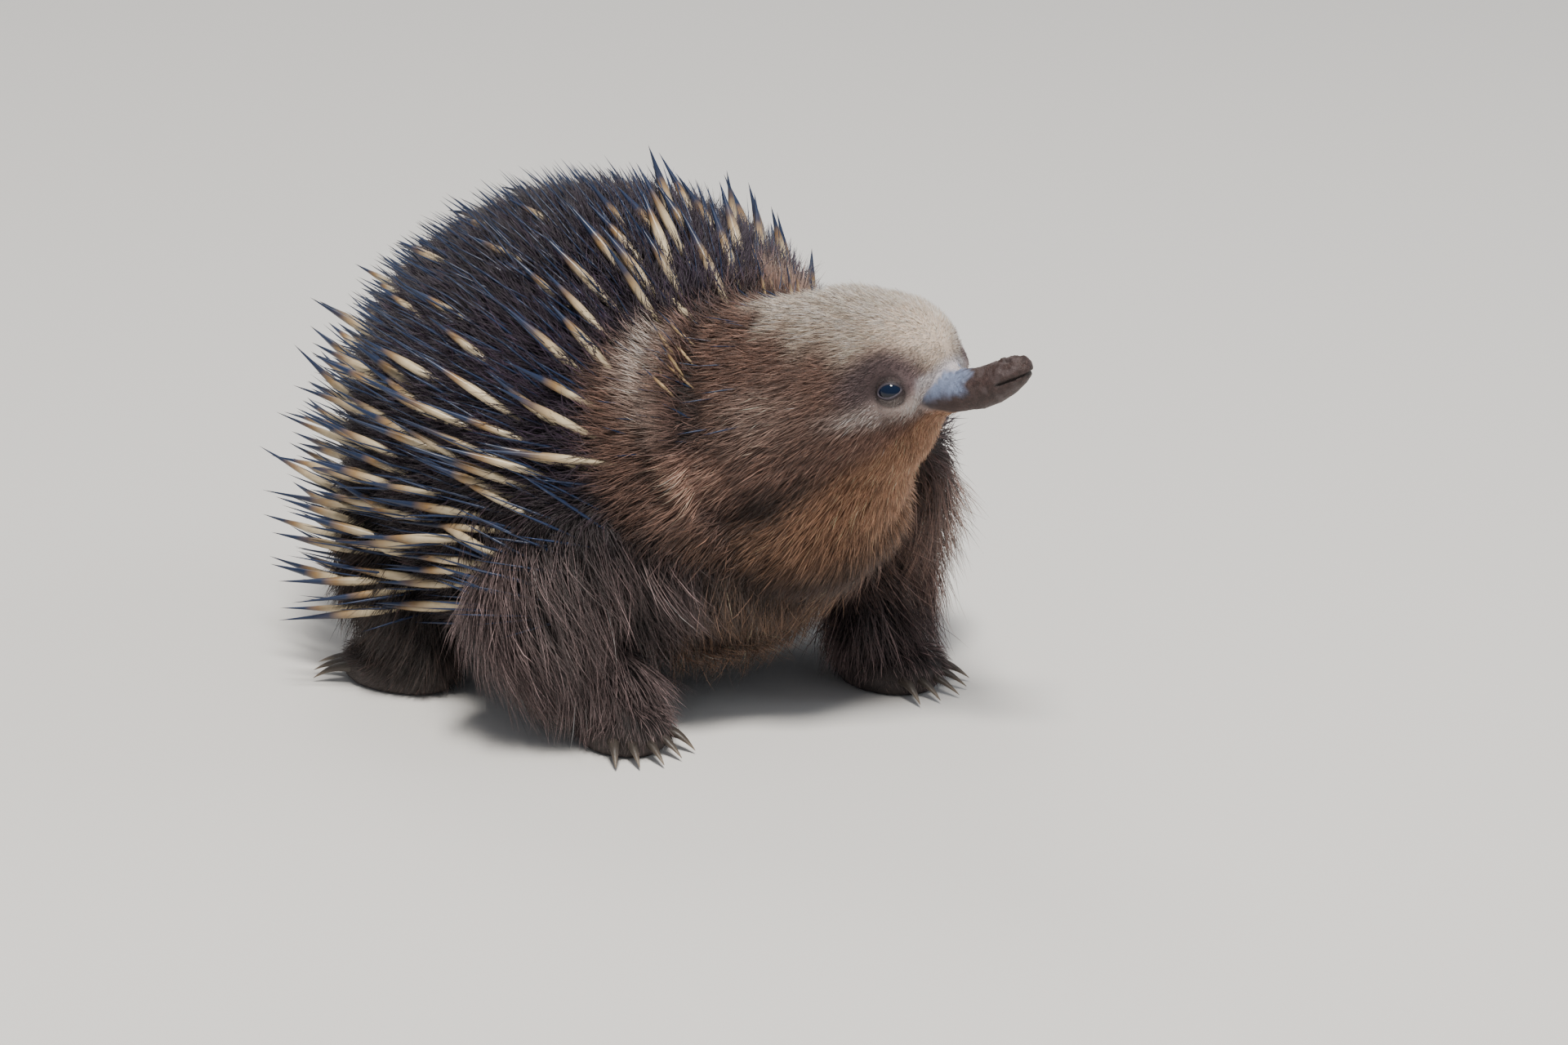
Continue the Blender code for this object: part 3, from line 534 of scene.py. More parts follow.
def beak_relief(along, side, rise, turn):
    """How far the beak's surface stands out of its plain form, in millimetres."""
    place = Vector((along, side, rise))
    middle = beak_at(along)[0]
    earth = float(ease(*EARTH_START, along)) * max(0.0, 0.35 + 0.65 * math.sin(turn))
    relief = noise.fractal(place * 0.42, 0.8, 2.1, 4) * LUMP_HEIGHT * earth
    relief += noise.noise(place * 2.2) * GRAIN_HEIGHT
    wave = math.sin(along * 2.1 + noise.noise(place * 0.5) * 2)
    relief += FOLD_HEIGHT * wave * float(fade(*FOLD_END, along))
    if along > MOUTH_BACK and rise < middle:
        depth = min(1.0, (along - MOUTH_BACK) / 2)
        relief -= MOUTH_DEPTH * depth * math.exp(-(((rise - mouth_rise(along)) / 0.42) ** 2))
    for sign in (1, -1):
        far, wide, _ = NOSTRIL_PLACE
        long, broad = NOSTRIL_RADII
        reach = ((along - far) / long) ** 2 + ((side - sign * wide) / broad) ** 2
        if rise > middle:
            relief -= NOSTRIL_DEPTH * math.exp(-reach)
            relief += NOSTRIL_RIM * math.exp(-((math.sqrt(reach) - 1.5) ** 2) * 4)
    return relief


# Eyes and lids

def eye_centre(sign):
    return on_head(EYE_PLACE[0], EYE_PLACE[1] * sign, EYE_PLACE[2])


def eye_axes(sign):
    """Outward, towards the beak and up, at an eye."""
    right, forward, up = EYE_OUTWARD
    outward = (RIGHT * sign * right + FORWARD * forward + UP * up).normalized()
    front = (FORWARD - outward * FORWARD.dot(outward)).normalized()
    above = outward.cross(front) * sign
    return outward, front, above


def make_eye(sign, side, material):
    form = bmesh.new()
    place = Matrix.Translation(world(eye_centre(sign)))
    bmesh.ops.create_icosphere(form, subdivisions=5, radius=EYE_RADIUS * MM, matrix=place)
    eye = smooth_piece("eyeball_" + side, form, material)
    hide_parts("eye_" + side)


# The lids' height over the eye by the share from the rim to the end, and half angles of the opening
LID_PROFILE = (
    (-0.10, -0.5), (-0.02, 0.05), (0.0, 0.25), (0.05, 0.42),
    (0.14, 0.45), (0.3, 0.5), (0.6, 0.6), (1.0, -0.2),
)
LID_END = 84
LID_WIDE = (62, 57)
LID_TALL = (32, 24)
LID_ROUND = 1.7


def lid_place(sign, turn, share):
    """A place on the lids and its outward direction, by turn round the eye and share from the rim."""
    outward, front, above = eye_axes(sign)
    across, up = math.cos(turn), math.sin(turn)
    wide = math.radians(LID_WIDE[0 if across > 0 else 1])
    tall = math.radians(LID_TALL[0 if up > 0 else 1])
    opening = 1 / ((abs(across) / wide) ** LID_ROUND + (abs(up) / tall) ** LID_ROUND) ** (1 / LID_ROUND)
    bend = opening + (math.radians(LID_END) - opening) * share if share > 0 else opening * (1 + share)
    direction = outward * math.cos(bend) + (front * across + above * up) * math.sin(bend)
    height = float(np.interp(share, *zip(*LID_PROFILE)))
    crease = 0.2 * math.sin(share * 24 + turn) * max(share, 0) * (1 - share)
    return eye_centre(sign) + direction * (EYE_RADIUS + height + crease), direction


def make_lids(sign, side, material):
    """A shell round the eye with an almond opening, rolled at its rim."""
    form = bmesh.new()
    rows = []
    for k in range(LID_TURNS):
        turn = 2 * math.pi * k / LID_TURNS
        rows.append([form.verts.new(world(lid_place(sign, turn, share)[0])) for share, _ in LID_PROFILE])
    for low, high in zip(rows, rows[1:] + rows[:1]):
        add_band(form, low, high, closed=False)
    bmesh.ops.recalc_face_normals(form, faces=form.faces)
    lids = smooth_piece("lids_" + side, form, material)
    smooth = lids.modifiers.new("fine", "SUBSURF")
    smooth.levels = smooth.render_levels = 1
    return lids


def make_lid_fur(sign, side, material, seeded):
    """Very short dark fur on the lids, lying away from the opening."""
    count = LID_HAIRS[1]
    turns = seeded.uniform(0, 2 * math.pi, count)
    found = [lid_place(sign, turn, share) for turn, share in zip(turns, seeded.uniform(0.16, 0.95, count))]
    places, normals = np.array([place for place, _ in found]), np.array([out for _, out in found])
    _, front, above = (np.array(axis) for axis in eye_axes(sign))
    lies = front * np.cos(turns)[:, None] + above * np.sin(turns)[:, None] * 0.6 - front * 0.7
    lies = along_surface(lies, normals)
    length = seeded.uniform(1.0, 2.0, count)
    tone = np.exp(seeded.normal(0, 0.3, count))[:, None]
    root, tip = toned(EYE_PATCH, count)
    low = ease(0.2, 0.9, -np.sin(turns))
    tip = mix(tip, filled(np.array(STREAK[1]) * 0.5, count), low * 0.6)
    add_strands(
        "lid_fur_" + side, material, places - normals * 0.15, normals, lies, length, np.full(count, 0.17),
        np.full(count, 0.35), 0.1, (root * tone, tip * tone), unwrap(survey(places)), seeded, STYLES["face"],
    )


# Claws

def make_claws(material):
    """Twenty curved, slightly flattened claws as one mesh."""
    form = bmesh.new()
    for name in LEGS:
        ahead, left = heading(name)
        kind = kind_of(name)
        width, length, _ = PAW_RADII[kind]
        for i in range(5):
            share = i / 4 * 2 - 1
            fan = math.radians(CLAW_FAN / 2 * share)
            out = ahead * math.cos(fan) + left * math.sin(fan)
            base = paw_centre(name) + left * share * width * 0.62 + ahead * length * 0.72 * math.cos(fan)
            add_claw(form, base, out, CLAW_LENGTH[kind] * (1 - 0.25 * abs(share)))
    return smooth_piece("claws", form, material)


def add_claw(form, base, out, reach):
    side = Vector((-out.y, out.x, 0))
    sides, steps = CLAW_MESH
    rows = []
    for i in range(steps + 1):
        share = i / steps
        course = base + out * reach * (-0.3 + 1.28 * share)
        course.z = base.z + CLAW_ARCH * math.sin(math.pi * share) - CLAW_DROP * share ** 2
        radius = CLAW_RADIUS * (1 - share ** 1.7) * 0.98 + 0.14
        row = []
        for k in range(sides):
            turn = 2 * math.pi * k / sides
            over = Vector((0, 0, math.sin(turn) * radius * CLAW_FLAT))
            place = course + side * math.cos(turn) * radius + over
            row.append(form.verts.new(world((place.x, place.y, max(place.z, LOWEST)))))
        rows.append(row)
    add_tube(form, rows)


# Places on the skin

def samples(mesh, count, seeded, weight):
    """Random places on the skin, in millimetres, with their normals, denser where weight is high."""
    mesh.calc_loop_triangles()
    faces = read_rows(mesh.loop_triangles, "vertices", np.int64)
    normals = read_rows(mesh.vertex_normals, "vector")
    corners = mesh_places(mesh)[faces]
    areas = np.linalg.norm(np.cross(corners[:, 1] - corners[:, 0], corners[:, 2] - corners[:, 0]), axis=1)
    chances = areas * weight(survey(corners.mean(axis=1)))
    picks = seeded.choice(len(areas), count, p=chances / chances.sum())
    shares = seeded.dirichlet((1, 1, 1), count)[:, :, None]
    found = (normals[faces[picks]] * shares).sum(axis=1)
    return (corners[picks] * shares).sum(axis=1), unit(found)


def mesh_places(mesh):
    return (read_rows(mesh.vertices, "co") - np.array(SHIFT)) / MM


def unit(vectors):
    return vectors / np.maximum(np.linalg.norm(vectors, axis=1, keepdims=True), 1e-9)


def along_surface(directions, normals):
    return unit(directions - normals * (directions * normals).sum(axis=1, keepdims=True))


def mix(first, second, share):
    share = np.asarray(share)[:, None]
    return first * (1 - share) + second * share


def bump_at(value, middle, half_width):
    """1 in the middle, falling smoothly to 0 at the half width."""
    return fade(0, half_width, np.abs(value - middle))


def leg_nearness(places, name):
    """1 on a leg's lower part, falling to 0 on the trunk."""
    near = np.full(len(places), 1e9)
    leg = LEGS[name]
    for (start, first), (end, last) in zip(leg[1:], leg[2:]):
        start, end = np.array(start), np.array(end)
        share = np.clip(((places - start) @ (end - start)) / ((end - start) @ (end - start)), 0, 1)
        off = np.linalg.norm(places - start - share[:, None] * (end - start), axis=1)
        near = np.minimum(near, off - between(first, last, share))
    return fade(0, 9, near)


def nearest_of(places, centres):
    return np.min([np.linalg.norm(places - np.array(centre), axis=1) for centre in centres], axis=0)


def off_beak(along, side, rise):
    """How far outside the beak's own form a place lies."""
    middle, width, height = beak_at(along)
    return (np.hypot(side / width, (rise - middle) / height) - 1) * (width + height) / 2


def bare_beak(spots):
    """1 on the beak's bare skin, falling to 0 where the fur starts."""
    end = np.interp(spots["angle"], *FUR_END)
    return ease(end - 1.5, end + 1.5, spots["along"]) * fade(1.2, 2.4, spots["beak"])


# How far from the head's line the ruff reaches, and where it starts, by the angle of rise
RUFF_REACH = ((-60, -20, 0, 40, 55, 68), (50, 56, 67, 64, 59, 45))
RUFF_START = ((35, 75), (-34, -14))

# Where the ear's fold and the hollow before it lie along the head's line, by the angle of rise
RIDGE_LINE = ((10, 35, 55), (-11, -15, -14))
CREASE_LINE = ((-4, 10, 32, 60), (8, 6, 3, 0))


def survey(places):
    """Where each place lies: head coordinates, distances, and shares from 0 to 1 of the coat's regions."""
    away = places - np.array(NECK_CENTRE)
    along, side, rise = away @ np.array(FORWARD), away @ np.array(RIGHT), away @ np.array(UP)
    off = np.hypot(side, rise)
    angle = np.degrees(np.arctan2(rise, np.abs(side)))
    x, y, z = places.T
    eyes = [eye_centre(sign) for sign in (1, -1)]
    slits = [centre for sign in (1, -1) for centre, _ in slit_arc(sign)]
    head = ease(-8, 6, along) * fade(50, 58, off)
    reach = np.interp(angle, *RUFF_REACH)
    start = np.interp(angle, *RUFF_START)
    ruff = ease(start, start + 8, along) * fade(reach - 4, reach + 4, off) * (1 - head)
    barrel = np.maximum(head, ruff)
    front = np.maximum(leg_nearness(places, "front_right"), leg_nearness(places, "front_left"))
    shoulder = fade(-34, -12, y) * fade(74, 98, z)
    front = np.maximum(front, shoulder * ease(30, 50, np.abs(x - 4))) * (1 - barrel)
    hind = np.maximum(leg_nearness(places, "hind_right"), leg_nearness(places, "hind_left"))
    chest = fade(-66, -44, y) * fade(62, 92, z) * (1 - front) * (1 - barrel)
    belly = fade(28, 42, z) * (1 - front) * (1 - hind) * (1 - chest) * (1 - barrel)
    return {
        "places": places, "along": along, "side": side, "rise": rise, "angle": angle,
        "eye": nearest_of(places, eyes), "slit": nearest_of(places, slits),
        "beak": off_beak(along, side, rise), "barrel": barrel,
        "head": head, "ruff": ruff, "front": front, "hind": hind, "chest": chest, "belly": belly,
        "ridge": ear_ridge(along, angle) * barrel, "crease": ear_crease(along, angle) * barrel,
    }


def ear_ridge(along, angle):
    """1 on the fold behind the ear's slit, which leans back towards its top."""
    line = np.interp(angle, *RIDGE_LINE)
    return bump_at(along, line, 11) * ease(0, 26, angle) * fade(56, 70, angle)


def ear_crease(along, angle):
    """1 in the hollow in front of that fold."""
    return bump_at(along, np.interp(angle, *CREASE_LINE), 10) * bump_at(angle, 28, 40)


def chosen_of(spots, chosen):
    return {key: value[chosen] for key, value in spots.items()}


# Lie, length and markings

def lie_of(spots, normals):
    """The direction in which the coat lies."""
    places = spots["places"]
    x, _, z = places.T
    back = np.array((0, 1, 0)) + (places - np.array(NECK_CENTRE)) / 100 * 0.35
    outward = np.tanh(spots["side"] / 9)[:, None] * np.array(RIGHT)
    lifted = ease(-30, 30, spots["angle"])[:, None]
    ruff = -np.array(FORWARD) + np.array(UP) * (0.75 * lifted - 0.45) + outward * 0.2
    face = -np.array(FORWARD) + np.array(UP) * (0.35 * lifted - 0.40) + outward * 0.25
    sweep = -0.75 * ease(24, 60, z) - 0.15
    leg = np.stack([0.1 * np.sign(x), sweep, -np.ones(len(x))], axis=1)
    hind = np.stack([0.15 * np.sign(x), np.full(len(x), 0.45), -np.ones(len(x))], axis=1)
    lie = back
    for region, own in (
        ("chest", filled((0, -0.25, -1.0), len(x))), ("belly", filled((0, 0.9, -0.3), len(x))),
        ("front", leg), ("hind", hind), ("ruff", ruff), ("head", face),
    ):
        lie = mix(lie, own, spots[region])
    return along_surface(lie, normals)


FACE_LENGTHS = ((-10, 10, 35, 55, 70, 78, 88), (14, 11, 7.5, 5.5, 4.0, 3.0, 2.2))


def length_of(spots, guard):
    """Length of the coat in millimetres."""
    z = spots["places"][:, 2]
    length = 17 - 2.5 * ease(110, 160, z)
    face = np.interp(spots["along"], *FACE_LENGTHS)
    for name, own in (
        ("chest", 27 if guard else 15), ("belly", 22 if guard else 14), ("front", 33 if guard else 13),
        ("hind", 24 if guard else 13), ("ruff", 14), ("head", face),
    ):
        length = length * (1 - spots[name]) + own * spots[name]
    length += 5 * fade(-58, -34, spots["angle"]) * bump_at(spots["along"], 14, 44) * spots["head"]
    short = 0.18 + 0.25 * spots["hind"]
    length *= short + (1 - short) * ease(5, 36, z)
    length *= 1 - 0.5 * spots["crease"]
    return length * (0.3 + 0.7 * ease(5.0, 13, spots["eye"]))


def filled(value, count):
    return np.tile(np.array(value), (count, 1))


def toned(pair, count):
    return [filled(colour, count) for colour in pair]


def layered(base, count, layers):
    """Root and tip colours of a base, with each layer's pair laid over the last by its share."""
    root, tip = toned(base, count)
    for pair, share in layers:
        over_root, over_tip = toned(pair, count)
        root, tip = mix(root, over_root, share), mix(tip, over_tip, share)
    return root, tip


def colours_of(spots, guard=False):
    """Root and tip colours of the coat, also worn by the skin."""
    x, _, z = spots["places"].T
    # The wool's blue is partly painted skylight
    root, tip = layered(WOOL_WITH_PAINTED_SKYLIGHT, len(z), (
        (FLANK, fade(50, 120, z)),
        (BELLY, spots["belly"]),
        # The chest's brown carries painted shade between the forelegs
        (CHEST_GUARD_AND_PAINTED_SHADE if guard else CHEST_BROWN_AND_PAINTED_SHADE, spots["chest"]),
        (LEG_GUARD if guard else LEG, spots["front"]),
        (THROAT, spots["front"] * ease(20, 40, x) * ease(30, 60, z) * 0.22),
        (HIND, spots["hind"]),
    ))
    face_root, face_tip = face_colours(spots)
    return mix(root, face_root, spots["barrel"]), mix(tip, face_tip, spots["barrel"])


# The forehead's lower edge as an angle of rise, and the streak's rise, both along the head's line
FOREHEAD_EDGE = ((8, 16, 30, 52, 70, 84), (102, 84, 61, 44, 41, 34))
STREAK_LINE = ((44, 60, 72), (3.0, 1.2, 0.2))


def face_colours(spots):
    """Pale forehead, brown cheek and ruff, tan throat, a dark patch at the eye, and grey at the beak, with
    painted shade in the ear's crease and under the cheek and painted highlights on the ear's fold and bulge.
    """
    along, angle, side, rise = (spots[key] for key in ("along", "angle", "side", "rise"))
    # Painted light on the ear's fold: brighter towards its top and dimmer on the animal's left side
    ridge_painted_light = (0.45 + 0.55 * ease(20, 50, angle)) * (1 - 0.6 * ease(0, 10, -side))
    edge = np.interp(along, *FOREHEAD_EDGE)
    edge = edge + 11 * ease(2, 12, -side) * fade(56, 70, along)
    edge = edge + 5 * np.sin(along * 0.35 + side * 0.11)
    patch = np.hypot((along - 69) / np.where(along > 69, 9, 13), (rise - 9) / np.where(rise > 9, 11, 7))
    near = np.where(rise < 9, 10, 7)
    muzzle = ease(71, 77, along) * fade(near - 5, near, spots["beak"])
    streak = bump_at(rise, np.interp(along, *STREAK_LINE), 6.5) * ease(38, 66, along)
    return layered(CHEEK, len(along), (
        (RUFF, np.maximum(spots["ruff"], 0.8 * ease(48, 72, angle))),
        # Painted shade in the hollow before the ear's fold
        (CREASE_PAINTED_SHADE, spots["crease"] * 0.85),
        # The ear's fold: pale tan with a painted highlight
        (RIDGE_TAN_AND_PAINTED_HIGHLIGHT, spots["ridge"] * ridge_painted_light),
        # The ear's bulge: pale tan with a painted sun highlight
        (BULGE_TAN_AND_PAINTED_HIGHLIGHT, bump_at(angle, -8, 19) * bump_at(along, -4, 16)),
        # The fold's pale tan and painted highlight, faintly on the upper cheek
        (RIDGE_TAN_AND_PAINTED_HIGHLIGHT, bump_at(angle, 16, 24) * bump_at(along, 26, 22) * 0.2),
        (FOREHEAD, ease(-15, 15, angle - edge)),
        (THROAT, fade(-44, -20, angle)),
        # The barrel's lowest part takes the chest's brown and its painted shade
        (CHEST_BROWN_AND_PAINTED_SHADE, fade(62, 92, spots["places"][:, 2])),
        # Painted shade under the cheek
        (CHEEK_PAINTED_SHADE, bump_at(angle, -30, 16) * bump_at(along, 16, 32)),
        (BROW, fade(0.7, 1.55, patch)),
        (EYE_PATCH, fade(0.1, 1.05, patch)),
        (MUZZLE, muzzle * ease(-5, 0, rise)),
        (STREAK, streak * 0.85),
    ))


def unwrap(spots):
    """Each tuft's place on an unwrap round the head's line or the trunk's, spread over the square."""
    middle = spots["places"] - np.array((0, 0, 75))
    turn = np.arctan2(middle[:, 0], middle[:, 2]) / (2 * math.pi)
    head_turn = np.arctan2(spots["side"], spots["rise"]) / (2 * math.pi)
    on_face = spots["head"] > 0.5
    u = np.where(on_face, head_turn, turn)
    v = np.where(on_face, 200 + spots["along"], spots["places"][:, 1])
    square = np.stack([u, v], axis=1)
    low, high = square.min(axis=0), square.max(axis=0)
    return (square - low) / np.maximum(high - low, 1e-6) * 0.97 + 0.015


# Tufts

def spokes_of(across, over, turns):
    """Directions round each tuft's course, one for each turn."""
    cosines, sines = np.cos(turns)[None, :, None], np.sin(turns)[None, :, None]
    return across[:, None, :] * cosines + over[:, None, :] * sines


def add_strands(
    name, material, roots, normals, lies, length, width, lift, sag, colours, patches, seeded, style
):
    """One mesh of thin three-sided strands, each bent along its lie and drawn to a point."""
    count = len(roots)
    shares = np.array((*style["levels"], 1.0))
    swing = unit(np.cross(lies, normals))
    bend = swing * seeded.normal(0, style["curl"], (count, 1))
    bend += normals * seeded.normal(0, style["curl"] * 0.5, (count, 1))
    reach = length[:, None]
    plain = lies * np.cos(lift)[:, None] + normals * (np.sin(lift) - sag)[:, None]
    ends = drawn_together(roots, roots + (plain + bend) * reach, style["clump"], style["clump_size"], seeded)
    pull = ends - roots - plain * reach
    course = [
        roots + lies * (np.cos(lift)[:, None] * share * reach)
        + normals * ((np.sin(lift) * share - sag * share ** 2)[:, None] * reach) + pull * share ** 1.6
        for share in shares
    ]
    taper = np.interp(shares, (0, 0.25, 0.6, 1.0), (0.85, 1.0, 0.72, 0.0))
    spokes = spokes_of(swing, normals, np.array((0.5, 7 / 6, 11 / 6)) * math.pi)
    rings = [
        course[level][:, None, :] + spokes * (width * taper[level] / 2)[:, None, None]
        for level in range(len(shares) - 1)
    ]
    points = np.concatenate(rings + [course[-1][:, None, :]], axis=1)
    points[:, :, 2] = np.maximum(points[:, :, 2], LOWEST)
    blend = np.append(np.repeat(shares[:-1], 3), 1.0)[None, :, None]
    shades = colours[0][:, None, :] * (1 - blend) + colours[1][:, None, :] * blend
    tuft_mesh(name, material, points, shades, patches, shares[:-1], 3)


def drawn_together(roots, ends, clump, size, seeded):
    """Ends moved towards the end of a neighbour that leads their clump."""
    leaders = seeded.choice(len(roots), max(1, len(roots) // size), replace=False)
    tree = KDTree(len(leaders))
    for number, leader in enumerate(leaders):
        tree.insert(roots[leader], number)
    tree.balance()
    own = np.array([leaders[tree.find(root)[1]] for root in roots])
    share = clump * seeded.uniform(0.4, 1.0, (len(roots), 1))
    return ends * (1 - share) + ends[own] * share


def tuft_mesh(name, material, points, shades, patches, shares, sides):
    """A mesh of many tufts of one build, rings of corners up to a point, each on its own small patch."""
    count, per, _ = points.shape
    bands = len(shares) - 1
    faces = [
        (sides * b + k, sides * b + (k + 1) % sides, sides * (b + 1) + (k + 1) % sides, sides * (b + 1) + k)
        for b in range(bands) for k in range(sides)
    ]
    faces += [(sides * bands + k, sides * bands + (k + 1) % sides, per - 1) for k in range(sides)]
    mesh = bpy.data.meshes.new(name)
    mesh.vertices.add(count * per)
    mesh.vertices.foreach_set("co", (points.reshape(-1, 3) * MM + np.array(SHIFT)).ravel())
    pattern = np.array([corner for face in faces for corner in face])
    corners = ((np.arange(count) * per)[:, None] + pattern[None, :]).ravel()
    totals = np.tile(np.array([len(face) for face in faces]), count)
    mesh.loops.add(len(corners))
    mesh.loops.foreach_set("vertex_index", corners)
    mesh.polygons.add(len(totals))
    mesh.polygons.foreach_set("loop_start", np.concatenate([[0], np.cumsum(totals)[:-1]]))
    mesh.polygons.foreach_set("use_smooth", np.ones(len(totals), dtype=bool))
    mesh.update(calc_edges=True)
    offsets = [
        ((k / (sides - 1) - 0.5) * PATCH, (share - 0.5) * PATCH) for share in shares for k in range(sides)
    ]
    offsets = np.array(offsets + [(0, 0.5 * PATCH)])
    squares = (patches[:, None, :] + offsets[None, :, :]).reshape(-1, 2)
    mesh.uv_layers.new(name="OFBake").uv.foreach_set("vector", squares[corners].ravel())
    paint_mesh(mesh, shades.reshape(-1, 3))
    link(name, mesh, material)


# Each region's coat: rings along a strand, bend, pull to a clump's end, clump size and number of strands
STYLES = {
    "back": {"levels": (0, 0.5), "curl": 0.22, "clump": 0.3, "clump_size": 8, "count": 52000},
    "face": {"levels": (0, 0.5), "curl": 0.11, "clump": 0.16, "clump_size": 5, "count": 51000},
    "under": {"levels": (0, 0.5), "curl": 0.16, "clump": 0.4, "clump_size": 8, "count": 16000},
    "guard": {"levels": (0, 0.35, 0.7), "curl": 0.15, "clump": 0.35, "clump_size": 14, "count": 25000},
}
PIECE_TRIANGLES = 190000
PATCH = 0.003


def make_coat(skin, material, seeded):
    """The whole coat, in pieces of fewer than 200,000 triangles."""
    thin = 1.0
    for region, style in STYLES.items():
        count = int(style["count"] * thin)
        places, normals = samples(skin.data, count, seeded, lambda spots: region_weight(region, spots))
        spots = survey(places)
        order = np.argsort(places[:, 1 if region in ("under", "guard") else 0])
        triangles = 6 * len(style["levels"]) - 3
        pieces = math.ceil(count * triangles / PIECE_TRIANGLES)
        for number, chosen in enumerate(np.array_split(order, pieces)):
            name = f"coat_{region}_{number + 1}"
            grow_region(name, region, material, normals[chosen], chosen_of(spots, chosen), seeded)


def region_weight(region, spots):
    """How densely a region's coat grows at each place."""
    barrel = spots["barrel"]
    low = np.maximum.reduce([spots["front"], spots["hind"], spots["chest"], spots["belly"]])
    if region == "face":
        fine = 1 + 2.4 * ease(30, 68, spots["along"])
        density = barrel * ease(1.8, 3.0, spots["slit"]) * fine * (1 - bare_beak(spots))
        return density * ease(4.7, 5.1, spots["eye"]) + 1e-9
    if region == "back":
        return np.clip(1 - barrel - low, 0, 1) + 1e-9
    return low * ease(2, 6, spots["places"][:, 2]) * (1 - barrel) + 1e-9


def grow_region(name, region, material, normals, spots, seeded):
    places = spots["places"]
    z = places[:, 2]
    count = len(places)
    guard = region == "guard"
    back = region == "back"
    length = length_of(spots, guard) * seeded.uniform(0.7, 1.2, count)
    lies = lie_of(spots, normals)
    wild = 0.30 * back + 0.14
    lies = unit(lies + np.cross(lies, normals) * (seeded.normal(0, wild, count))[:, None])
    lift = 30 + 24 * (ease(95, 150, z) * back) - 4 * spots["barrel"] + 22 * spots["ridge"]
    lift = np.radians(lift) + seeded.normal(0, 0.13, count)
    sag = 0.16 + 0.12 * guard - 0.06 * spots["head"]
    widest = 0.28 if region in ("face", "guard") else 0.44
    width = np.clip(length * 0.032, 0.18, widest) * seeded.uniform(0.7, 1.25, count)
    clear = np.maximum(z - 1.0, 0.5)
    falling = np.maximum(-(lies[:, 2] * np.cos(lift) + normals[:, 2] * (np.sin(lift) - sag)), 1e-3)
    length = np.minimum(length, clear / falling)
    root, tip = colours_of(spots, guard)
    tone = np.exp(seeded.normal(0, 0.34 + 0.16 * guard, count))[:, None]
    pale = 1 + (0.8 + 0.9 * guard) * (seeded.uniform(0, 1, count) < 0.18)[:, None]
    tone = tone * (1 - 0.4 * ease(120, 165, z) * back)[:, None]
    mottle = np.array([noise.fractal(Vector(place) * 0.16, 0.9, 2.0, 3) for place in places])
    tone = tone * np.exp(0.3 * mottle)[:, None]
    colours = (root * tone, np.minimum(tip * tone * pale, 0.9))
    add_strands(
        name, material, places - normals * 0.4, normals, lies, length, width, lift, sag,
        colours, unwrap(spots), seeded, STYLES[region],
    )


# Spines

def spread(places, spacing):
    """The numbers of places kept so that none is closer to another than the spacing."""
    kept = []
    for number, place in enumerate(places):
        if not kept or np.linalg.norm(places[kept] - place, axis=1).min() > spacing[number]:
            kept.append(number)
    return np.array(kept)


def has_spines(spots, normals):
    _, y, z = spots["places"].T
    limit = between(*SPINE_BEHIND_NECK, ease(140, 150, z))
    return (
        (z > SPINE_LOWEST) & (normals[:, 2] > -0.6) & (y > np.interp(z, *SPINE_FRONT))
        & (spots["along"] < limit) & (spots["ruff"] < 0.6)
    )


def collar_share(spots):
    """1 in the collar of spines behind the neck's upper side."""
    return ease(-48, -26, spots["along"]) * ease(95, 125, spots["places"][:, 2])


def spine_shape(spots):
    """Length and rise of the spine at each place."""
    _, y, z = spots["places"].T
    values = []
    for flank, top, rump, collar in zip(SPINE_FLANK, SPINE_TOP, SPINE_RUMP, SPINE_COLLAR):
        value = between(flank, top, ease(105, 150, z))
        value = between(value, rump, ease(55, 95, y) * fade(90, 140, z))
        values.append(between(value, collar, collar_share(spots)))
    return values


SPINE_STYLES = {
    "spines": {"sides": 7, "shares": (-0.1, 0.12, 0.3, 0.46, 0.6, 0.74, 0.88), "tone": "cream"},
    "bristles": {"sides": 4, "shares": (-0.1, 0.3, 0.7), "tone": "dark"},
    "quills": {"sides": 6, "shares": (-0.1, 0.15, 0.35, 0.55, 0.75, 0.9), "tone": "tan"},
}
SPINE_TAPER = ((-0.1, 0.12, 0.3, 0.46, 0.6, 0.74, 0.88, 1.0), (0.5, 0.8, 1.0, 0.96, 0.72, 0.42, 0.2, 0.0))


